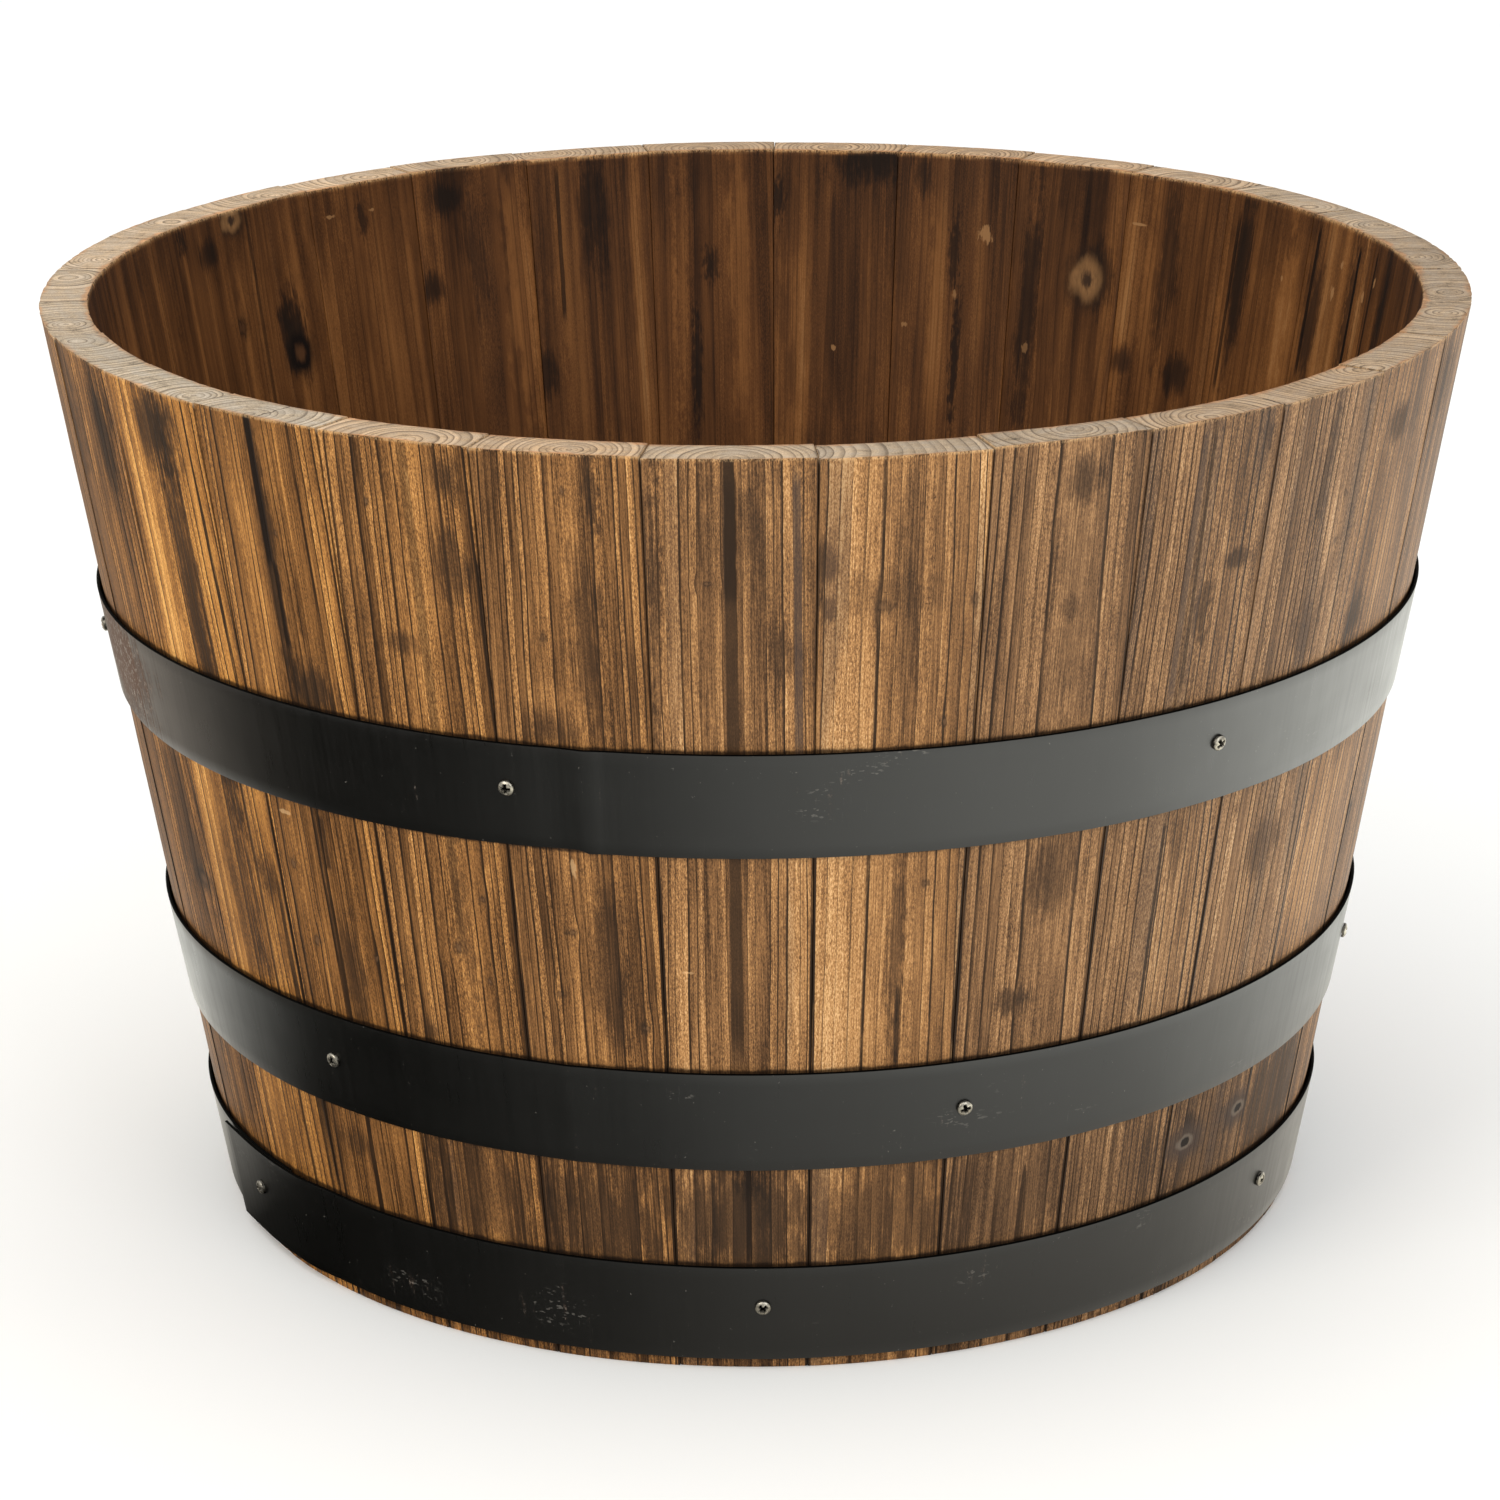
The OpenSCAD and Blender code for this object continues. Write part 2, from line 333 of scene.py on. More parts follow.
class Surface:
    """A material being built, with the few kinds of node that the finishes share."""

    def __init__(self, name: str) -> None:
        """Makes an empty node material."""
        self.material = bpy.data.materials.new(name)
        self.material.use_nodes = True
        self.tree = self.material.node_tree
        self.tree.nodes.clear()

    def node(self, kind: str, **settings: object) -> bpy.types.Node:
        """Adds a node with the settings given."""
        node = self.tree.nodes.new(kind)
        for name, value in settings.items():
            setattr(node, name, value)
        return node

    def feed(self, socket: bpy.types.NodeSocket, value: "Field | float | tuple") -> None:
        """Links a field to an input, or sets the input's own value."""
        if isinstance(value, Field):
            self.tree.links.new(value.socket, socket)
        else:
            socket.default_value = value

    def output(self, kind: str, *values: "Field | float | tuple", **settings: object) -> Field:
        """Adds a node, feeds its first inputs in turn and gives its first output."""
        node = self.node(kind, **settings)
        for socket, value in zip(node.inputs, values):
            self.feed(socket, value)
        return Field(self, node.outputs[0])

    def attribute(self, name: str, output: str = "Vector") -> Field:
        """A vector or, from the output Fac, a number that is stored on the piece's points."""
        return Field(self, self.node("ShaderNodeAttribute", attribute_name=name).outputs[output])

    def place(self) -> Field:
        """The point's place in the piece's own coordinates."""
        return Field(self, self.node("ShaderNodeTexCoord").outputs["Object"])

    def split(self, vector: Field) -> tuple[Field, Field, Field]:
        """The three parts of a vector."""
        node = self.node("ShaderNodeSeparateXYZ")
        self.feed(node.inputs[0], vector)
        return tuple(Field(self, out) for out in node.outputs)

    def join(self, x: "Field | float", y: "Field | float", z: "Field | float" = 0.0) -> Field:
        """A vector from its parts."""
        return self.output("ShaderNodeCombineXYZ", x, y, z)

    def scaled(self, vector: Field, factors: Triple) -> Field:
        """A vector or colour with each part multiplied."""
        return self.output("ShaderNodeVectorMath", vector, factors, operation="MULTIPLY")

    def length(self, vector: Field) -> Field:
        """The length of a vector."""
        node = self.node("ShaderNodeVectorMath", operation="LENGTH")
        self.feed(node.inputs[0], vector)
        return Field(self, node.outputs["Value"])

    def noise(
        self, vector: Field, sizes_mm: Triple, detail: float = 1.0, rough: float = 0.5, output: str = "Fac"
    ) -> Field:
        """Cloudy noise on a place in millimetres.

        Args:
            vector: the place.
            sizes_mm: the size of a cloud each way.
            detail: how many finer layers there are.
            rough: how strong the finer layers are.
            output: Fac for a number about 0.5, or Color for three of them.

        Returns:
            The noise.
        """
        node = self.node("ShaderNodeTexNoise")
        self.feed(node.inputs["Vector"], self.scaled(vector, tuple(1.0 / size for size in sizes_mm)))
        for name, value in (("Scale", 1.0), ("Detail", detail), ("Roughness", rough)):
            node.inputs[name].default_value = value
        return Field(self, node.outputs[output])

    def dice(self, value: Field) -> Field:
        """A random number from 0 to 1 for each whole number."""
        node = self.node("ShaderNodeTexWhiteNoise", noise_dimensions="1D")
        self.feed(node.inputs["W"], value)
        return Field(self, node.outputs["Value"])

    def mix(self, share: Field, first: "Field | tuple", second: "Field | tuple") -> Field:
        """A colour between two others.

        Args:
            share: how much of the second colour there is, held between 0 and 1.
            first: the colour at 0.
            second: the colour at 1.

        Returns:
            The mixed colour.
        """
        # The node numbers its two colours 6 and 7, and their mix 2
        node = self.node("ShaderNodeMix", data_type="RGBA")
        for number, value in ((0, share), (6, first), (7, second)):
            self.feed(node.inputs[number], value)
        return Field(self, node.outputs[2])

    def shade(self, colour: Field, strength: Field) -> Field:
        """A colour made darker or lighter by a factor."""
        node = self.node("ShaderNodeVectorMath", operation="SCALE")
        self.feed(node.inputs[0], colour)
        self.feed(node.inputs["Scale"], strength)
        return Field(self, node.outputs[0])

    def bump(self, height_mm: Field, strength: float) -> Field:
        """A normal from a height field in millimetres."""
        node = self.node("ShaderNodeBump")
        for name, value in (("Strength", strength), ("Distance", MM), ("Height", height_mm)):
            self.feed(node.inputs[name], value)
        return Field(self, node.outputs[0])

    def close(
        self, colour: "Field | tuple", roughness: "Field | float", **inputs: "Field | float | tuple"
    ) -> bpy.types.Material:
        """Ends the material in a Principled shader.

        Args:
            colour: the base colour.
            roughness: the roughness.
            **inputs: other inputs of the shader, with underscores for spaces.

        Returns:
            The finished material.
        """
        shader = self.node("ShaderNodeBsdfPrincipled")
        for name, value in {"Base Color": colour, "Roughness": roughness, **inputs}.items():
            self.feed(shader.inputs[name.replace("_", " ")], value)
        self.tree.links.new(shader.outputs[0], self.node("ShaderNodeOutputMaterial").inputs[0])
        return self.material


# ------------------------- Wood


class Mark(Enum):
    """The kinds of mark that a board shows."""

    KNOT = "a dark knot that the grain bends round"
    PIN_KNOT = "a knot of a few millimetres"
    PALE_KNOT = "a knot with a pale ring"
    SCORCH = "a soft dark burn"
    PALE = "a patch that the torch missed"
    PITH = "an upright dark band where the heart of the log lies open"
    STREAK = "an upright grey streak"
    CHECK = "an upright dry crack"
    NAIL = "a small dark hole"
    CHIP = "a pale chip"
    SPLIT = "a crack across the sawn rim"


@dataclass(frozen=True)
class Spot:
    """One mark on the staves, at a real place and of a real size."""

    mark: Mark
    angle: float
    height_mm: float
    width_mm: float
    length_mm: float
    strength: float = 1.0
    across_mm: float = 0.0

    @property
    def inside(self) -> bool:
        """Whether it lies on an inner face, which the photograph shows at the back."""
        return abs(turn_between(0.0, self.angle)) > 90.0


@dataclass(frozen=True)
class Layer:
    """One coat of a mark: how far out it is full and gone, in half-sizes, its colour and its relief.

    A patchy coat lets the wood under it show in places.
    """

    full: float
    gone: float
    strength: float
    colour: str
    relief_mm: float = 0.0
    patchy: bool = False


KNOTS = (Mark.KNOT, Mark.PIN_KNOT, Mark.PALE_KNOT)
BANDS = (Mark.PITH, Mark.CHECK, Mark.STREAK)

# How much lighter a soft mark makes the wood, on its scale from 0 to 1
SOFT_SHIFTS = {Mark.SCORCH: -0.22, Mark.PALE: 0.16}

# The coats of each hard-edged mark, from the lowest
COATS: dict[Mark, tuple[Layer, ...]] = {
    Mark.KNOT: (
        Layer(0.7, 2.4, 0.5, "soot"),
        Layer(0.7, 1.6, 0.85, "char"),
        Layer(0.15, 0.75, 0.45, "knot_ring"),
    ),
    Mark.PIN_KNOT: (
        Layer(0.8, 1.9, 0.35, "soot"),
        Layer(0.5, 1.2, 0.75, "char"),
        Layer(0.15, 0.75, 0.45, "knot_ring"),
    ),
    Mark.PALE_KNOT: (
        Layer(0.9, 1.7, 0.6, "soot"),
        Layer(0.60, 1.12, 1.0, "chip", patchy=True),
        Layer(0.18, 0.52, 0.9, "violet"),
    ),
    Mark.NAIL: (
        Layer(1.2, 3.6, 0.85, "violet"),
        Layer(0.80, 1.20, 0.3, "end_grey"),
        Layer(0.45, 0.7, 1.0, "char", -0.4),
    ),
    Mark.CHIP: (Layer(0.6, 1.0, 0.7, "chip"),),
    Mark.STREAK: (Layer(0.78, 1.08, 0.85, "violet"),),
    Mark.CHECK: (Layer(0.78, 1.08, 0.92, "char", -0.35),),
    Mark.PITH: (Layer(0.78, 1.08, 1.0, "heart", -0.12),),
}


@dataclass(frozen=True)
class Board:
    """How one board was cut from its log, and how hard it was torched."""

    seed: float
    heart_across_mm: float
    heart_depth_mm: float
    ring_mm: float
    tone: float
    char: float
    # partly painted light: how much the board is warmed, standing also for warm light on the left boards and
    # cool light on the right ones
    gold_and_side_light: float = 0.0
    contrast: float = 0.30
    rim_light: float = 1.0
    rim_warmth: float = 0.1


@dataclass(frozen=True)
class ScorchedFir:
    """Fir boards that were torched, brushed and oiled."""

    darkest: tuple = linear(38, 24, 13)
    dark: tuple = linear(86, 58, 32)
    middle: tuple = linear(136, 95, 55)
    light: tuple = linear(184, 134, 80)
    lightest: tuple = linear(220, 174, 118)
    soot: tuple = linear(51, 40, 30)
    heart: tuple = linear(42, 28, 16)
    violet: tuple = linear(68, 54, 46)
    char: tuple = linear(28, 19, 13)
    end_pale: tuple = linear(182, 161, 134)
    end_grey: tuple = linear(150, 136, 118)
    end_line: tuple = linear(92, 78, 62)
    end_brown: tuple = linear(150, 108, 68)
    knot_ring: tuple = linear(142, 104, 70)
    chip: tuple = linear(216, 176, 126)
    inner_tint: tuple = (1.0, 0.80, 0.64)
    specular: float = 0.13

    def dress(self, name: str, board: Board, spots: list[Spot], inner_shade: float) -> bpy.types.Material:
        """Builds the material of one board.

        Args:
            name: the material's name.
            board: how the board was cut and torched.
            spots: the board's marks, each with its place across the board.
            inner_shade: how dark the board's inner face is painted, as a factor: painted shade inside the
                barrel.

        Returns:
            The material.
        """
        wood = BoardPaint(self, name, board, spots)
        wood.draw_rings()
        wood.torch()
        wood.colour_grain()
        wood.shade_seams()
        wood.soil_and_shadow_by_hoops()
        for spot in spots:
            if spot.mark in COATS:
                wood.add_spot(spot)
        wood.darken_inside(inner_shade)
        wood.saw_rim()
        wood.wear_arrises()
        return wood.close()


class BoardPaint:
    """The material of one board while it is built: the fields that its coats share, and the colour so far."""

    def __init__(self, finish: ScorchedFir, name: str, board: Board, spots: list[Spot]) -> None:
        """Reads where a point lies in the board, and lays the cloudy patterns of its wood.

        Args:
            finish: the wood's colours.
            name: the material's name.
            board: how the board was cut and torched.
            spots: the board's marks.
        """
        self.finish = finish
        self.board = board
        self.spots = spots
        self.surface = surface = Surface(name)
        self.across, self.depth, self.along = surface.split(surface.attribute("fibre"))
        self.end, self.inner, self.wear = surface.split(surface.attribute("parts"))
        seeds = (board.seed * 37.0, board.seed * 91.0, board.seed * 53.0)
        self.drift = surface.join(self.across + seeds[0], self.depth + seeds[1], self.along + seeds[2])
        self.clouds = self.noise((16.0, 16.0, 110.0), 3.0, 0.6)
        self.fires = self.noise((24.0, 24.0, 60.0), 2.0, 0.6)
        self.smoke = self.noise((7.0, 7.0, 22.0), 2.0, 0.6)
        self.mottle = self.noise((1.6, 1.6, 5.0), 2.0, 0.6)
        self.fibres = self.noise((0.5, 0.5, 34.0), 2.0, 0.6)
        self.flecks = self.noise((0.42, 0.42, 1.3), 1.0, 0.6)
        self.nicks = self.noise((2.2, 2.2, 0.5)).step(0.72, 0.78)
        self.breaks = self.noise((2.5, 2.5, 40.0), 2.0).step(0.30, 0.50)
        widening = math.sin(BARREL.taper) * STAVE_SPREAD
        half_width = self.along * widening + BARREL.foot_radius / MM * STAVE_SPREAD
        self.at_seam = abs(self.across) - half_width - self.depth * STAVE_SPREAD

    def noise(self, sizes_mm: Triple, detail: float = 1.0, rough: float = 0.5, output: str = "Fac") -> Field:
        """Cloudy noise in the board's own stretch of wood, as Surface.noise has it."""
        return self.surface.noise(self.drift, sizes_mm, detail, rough, output)

    def less_inside(self, share: float) -> Field:
        """A factor of 1 outside, and less by a share on the inner face."""
        return self.inner * -share + 1.0

    def cover(self, share: Field, colour: "Field | tuple") -> None:
        """Lays a colour over the colour so far."""
        self.colour = self.surface.mix(share, self.colour, colour)

    def draw_rings(self) -> None:
        """Lays the rings round the log's heart: the place in a ring, its chances and its late-wood line."""
        surface, board = self.surface, self.board
        bend_x, bend_y, _ = surface.split(self.noise((60.0, 60.0, 260.0), output="Color"))
        wobble = self.noise((8.0, 14.0, 40.0))
        heart_x = self.across + (bend_x - 0.5) * 7.0 + (wobble - 0.5) * 1.1 - board.heart_across_mm
        heart_y = self.depth + (bend_y - 0.5) * 3.0 - board.heart_depth_mm
        for spot in self.spots:
            if spot.mark in KNOTS:
                heart_x = heart_x + self.grain_round(spot)
        radius = surface.length(surface.join(heart_x, heart_y))
        spread = surface.noise(surface.join(radius, board.seed * 7.0), (9.0, 1.0, 1.0), 0.0)
        rings = radius / board.ring_mm + (spread - 0.5) * 2.4
        ring = rings.math("FLOOR")
        self.phase = rings - ring
        self.chance = surface.dice(ring + board.seed * 13.0)
        self.tint = surface.dice(ring + board.seed * 29.0 + 0.5)
        strong = self.chance.step(0.0, 0.65)
        self.line = ((self.phase.inverse() * board.ring_mm) / (strong * 0.9 + 0.5)).fall(0.30, 0.70)
        self.late = self.line * (strong * 0.6 + 0.45) * (self.breaks * 0.4 + 0.6) * self.less_inside(0.68)

    def torch(self) -> None:
        """Finds how much soot veils the wood, and how much lighter or darker it is: as the torch left it, a
        little darker on the inner face as painted shade, darker at the top of the inner face, and darker
        towards the foot.
        """
        smoke, fires = self.smoke, self.fires
        grit = (self.fibres - 0.5) * 0.3 + (self.mottle - 0.5) * 0.20 + (self.tint - 0.5) * 0.10
        burn = (fires + (smoke - 0.5) * 0.4 + grit + self.board.char * 0.12).step(0.62, 0.82)
        puff = (smoke + (fires - 0.5) * 0.3 + grit + self.board.char * 0.06).step(0.70, 0.86)
        soot = burn.top(puff * 0.7) * self.less_inside(0.7)
        brim = (self.along + (smoke - 0.5) * 80.0).step(350, 400) * self.inner
        # darker towards the foot, in patches
        darker_at_foot = self.along.fall(7, 16) * (fires + (smoke - 0.5) * 0.6).step(0.40, 0.58)
        self.veil = soot * 0.35
        self.shift = soot * -0.14 + self.board.tone - self.inner * 0.04 - brim * 0.10 - darker_at_foot * 0.16
        for spot in self.spots:
            if spot.mark in SOFT_SHIFTS:
                lies = (self.reach(spot) + (self.fibres - 0.5) * 1.2).fall(0.35, 1.35) * self.shown(spot)
                self.shift = self.shift + lies * SOFT_SHIFTS[spot.mark]
                if spot.mark is Mark.SCORCH:
                    self.veil = self.veil.top(lies * 0.6)
        self.crisp = self.veil * -0.8 + 1.0

    def colour_grain(self) -> None:
        """Colours the wood by its rings, clouds and fibres, with soot, grey streaks and late-wood lines."""
        board, finish, surface = self.board, self.finish, self.surface
        fine = (self.flecks - 0.5) * (self.tint * 0.9 + 0.35) + (self.mottle - 0.5) * 0.14
        fine = fine + (self.fibres - 0.5) * 0.85 - self.nicks * 0.2
        swathes = self.noise((6.5, 12.0, 320.0), 2.0)
        level = ((self.tint - 0.5) * board.contrast + (self.phase - 0.5) * -0.12) * self.less_inside(0.65)
        level = level + (self.clouds - 0.5) * 0.62 + (swathes - 0.5) * self.inner * 0.75 + self.shift
        level = level + fine * self.crisp * self.less_inside(0.6)
        # painted light in part: the warm tint also stands for warm light from the left and cool light from
        # the right
        gold_and_side_light = board.gold_and_side_light
        golden = (1.0 + 0.05 * gold_and_side_light, 1.0 - 0.06 * gold_and_side_light, 1.0 - 0.38 * gold_and_side_light)
        self.colour = surface.scaled(self.ramp(level), golden)
        self.cover(self.veil * 0.6, finish.soot)
        streak = self.tint.step(0.84, 0.88) * self.noise((25.0, 25.0, 260.0)).step(0.48, 0.56)
        greyed = 0.45 * min(1.0, max(0.0, 0.9 - 0.8 * gold_and_side_light))
        self.cover(streak * greyed * self.less_inside(0.6), finish.violet)
        self.cover(self.late * 0.92 * self.crisp, finish.heart)
        self.relief = self.late * -0.14 + self.flecks * 0.05 + self.fibres * 0.06 + self.nicks * -0.1

    def ramp(self, level: Field) -> Field:
        """The wood's colour from how light it is, from 0 to 1."""
        finish = self.finish
        node = self.surface.node("ShaderNodeValToRGB")
        self.surface.feed(node.inputs[0], level)
        stops = node.color_ramp.elements
        stops[0].position, stops[0].color = 0.0, finish.darkest
        stops[1].position, stops[1].color = 1.0, finish.lightest
        for position, colour in ((0.25, finish.dark), (0.50, finish.middle), (0.75, finish.light)):
            stops.new(position).color = colour
        return Field(self.surface, node.outputs[0])

    def shade_seams(self) -> None:
        """Paints shade into the seams between the staves on the outer face, more so low down."""
        low = self.along.fall(200, 270)
        seam_shade = (self.at_seam + low * 0.4).step(-0.6, -0.2) * (self.breaks * 0.5 + 0.25 + low * 0.3)
        # painted shade in the gaps between the staves
        self.cover(seam_shade * self.inner.inverse(), self.finish.heart)

    def soil_and_shadow_by_hoops(self) -> None:
        """Paints a dark line on the outer face along both edges of each hoop: a painted contact shadow, with
        some dirt.
        """
        for hoop in HOOPS.plans:
            middle = (BARREL.slant(hoop.low) + HOOPS.width / 2) / MM
            soil_and_shadow = abs(self.along - middle) + (self.smoke - 0.5) * 2.5
            # painted contact shadow of the hoop on the wood, with some dirt
            self.cover(soil_and_shadow.fall(22.5, 23.9) * self.inner.inverse() * 0.8, self.finish.char)

    def grain_round(self, spot: Spot) -> Field:
        """How far the grain is pushed sideways round a knot, in millimetres."""
        x = (self.across - spot.across_mm) / (spot.width_mm * 1.1)
        y = (self.along - spot.height_mm) / (spot.length_mm * 2.2)
        near = self.surface.length(self.surface.join(x, y)).fall(0.0, 1.6)
        return x * near * spot.width_mm * -0.55

    def from_middle(self, spot: Spot) -> tuple[Field, Field]:
        """Where a point lies from the middle of a mark, across and along, in half-sizes."""
        x = (self.across - spot.across_mm) / (spot.width_mm / 2)
        return x, (self.along - spot.height_mm) / (spot.length_mm / 2)

    def reach(self, spot: Spot, torn: float = 1.0) -> Field:
        """How far a point lies from the middle of a mark.

        Args:
            spot: the mark.
            torn: how ragged its edge is.

        Returns:
            The ragged distance in half-sizes.
        """
        ragged = self.smoke if spot.width_mm > 8 else self.mottle
        x, y = self.from_middle(spot)
        distance = self.surface.length(self.surface.join(x + (ragged - 0.5) * (0.7 * torn), y))
        return distance + (ragged - 0.5) * (1.6 * torn) + (self.mottle - 0.5) * (0.9 * torn)

    def shown(self, spot: Spot) -> Field:
        """How much a point's face shows a mark: the inner face if it's at the back, else the outer one."""
        return self.inner * (spot.strength * 1.35) if spot.inside else self.inner.inverse() * spot.strength

    def add_spot(self, spot: Spot) -> None:
        """Paints one hard-edged mark over the board."""
        mark = spot.mark
        shown = self.shown(spot)
        factors = [shown.clip() if mark is Mark.PALE_KNOT else shown]
        if mark in BANDS:
            x, y = self.from_middle(spot)
            reach = abs(x + (self.smoke - 0.5) * 0.5 + (self.mottle - 0.5) * 0.25)
            factors = [abs(y).fall(0.80, 1.0), shown]
        else:
            reach = self.reach(spot, 0.5 if mark in (Mark.PALE_KNOT, Mark.NAIL) or spot.width_mm > 9 else 1.0)
        if mark is Mark.PITH:
            factors.append((self.fibres * 0.8 + self.smoke * 0.6 + 0.28).clip())
        for coat in COATS[mark]:
            lies = reach.fall(coat.full, coat.gone)
            for factor in factors + [self.mottle * 0.8 + 0.20] * coat.patchy:
                lies = lies * factor
            self.cover(lies * coat.strength, getattr(self.finish, coat.colour))
            if coat.relief_mm:
                self.relief = self.relief + lies * coat.relief_mm

    def darken_inside(self, shade: float) -> None:
        """Darkens and warms the inner face by a factor: painted shade inside the barrel."""
        shaded = self.surface.scaled(self.colour, tuple(part * shade for part in self.finish.inner_tint))
        self.cover(self.inner, shaded)

    def saw_rim(self) -> None:
        """Lays the sawn rim over the wood, cracked at the seams and the splits."""
        surface, board = self.surface, self.board
        cracks = self.at_seam.step(-0.75, -0.3) * (self.breaks * 0.45 + (self.smoke - 0.4) * 1.2).clip()
        for spot in self.spots:
            if spot.mark is Mark.SPLIT:
                x = (self.across + (self.smoke - 0.5) * 5.0 - spot.across_mm) / (spot.width_mm / 2)
                cracks = cracks.top(abs(x).fall(0.5, 1.2) * spot.strength)
        sawn = surface.mix(cracks * 0.85, self.end_grain(), self.finish.heart)
        warm = board.rim_warmth / 2
        weathered = tuple(board.rim_light * part for part in (1.0 + warm, 1.0, 1.0 - warm))
        self.cover(self.end, surface.scaled(sawn, weathered))

    def end_grain(self) -> Field:
        """The colour of the sawn rim: pale and greyed, with ring lines, and browned along both arrises."""
        surface, finish = self.surface, self.finish
        blotches = self.noise((9.0, 6.0, 90.0), 2.0)
        pores = self.noise((0.6, 0.6, 30.0))
        colour = surface.mix(blotches.step(0.38, 0.62), finish.end_pale, finish.end_grey)
        colour = surface.mix(self.line * (self.chance * 0.4 + 0.4) * 0.85, colour, finish.end_line)
        colour = surface.mix(self.phase.step(0.35, 0.95) * (self.tint * 0.4 + 0.18), colour, finish.end_line)
        edge = (abs(self.depth + 10.0) + (blotches - 0.5) * 6.0 + (pores - 0.5) * 3.0).step(7.4, 10.4)
        colour = surface.mix(edge * 0.7, colour, finish.end_brown)
        light = (pores - 0.5) * 1.1 + (blotches - 0.5) * 1.9 + (self.tint - 0.5) * 0.4 + 1.05
        return surface.shade(colour, light)

    def wear_arrises(self) -> None:
        """Chips the worn edges of the rim with pale flecks, partly a painted highlight, and darkens them in
        short dashes.
        """
        self.cover(self.wear * (self.flecks + self.clouds).step(0.88, 1.1) * 0.5, self.finish.chip)
        self.cover(self.wear * (self.mottle + self.clouds * 0.5).fall(0.62, 0.72) * 0.6, self.finish.heart)

    def close(self) -> bpy.types.Material:
        """Ends the material."""
        shine = self.fibres * 0.25 + self.veil * 0.10 + self.end * 0.1 + 0.42
        normal = self.surface.bump(self.relief, 0.9)
        return self.surface.close(self.colour, shine, Normal=normal, Specular_IOR_Level=self.finish.specular)


FIR = ScorchedFir()

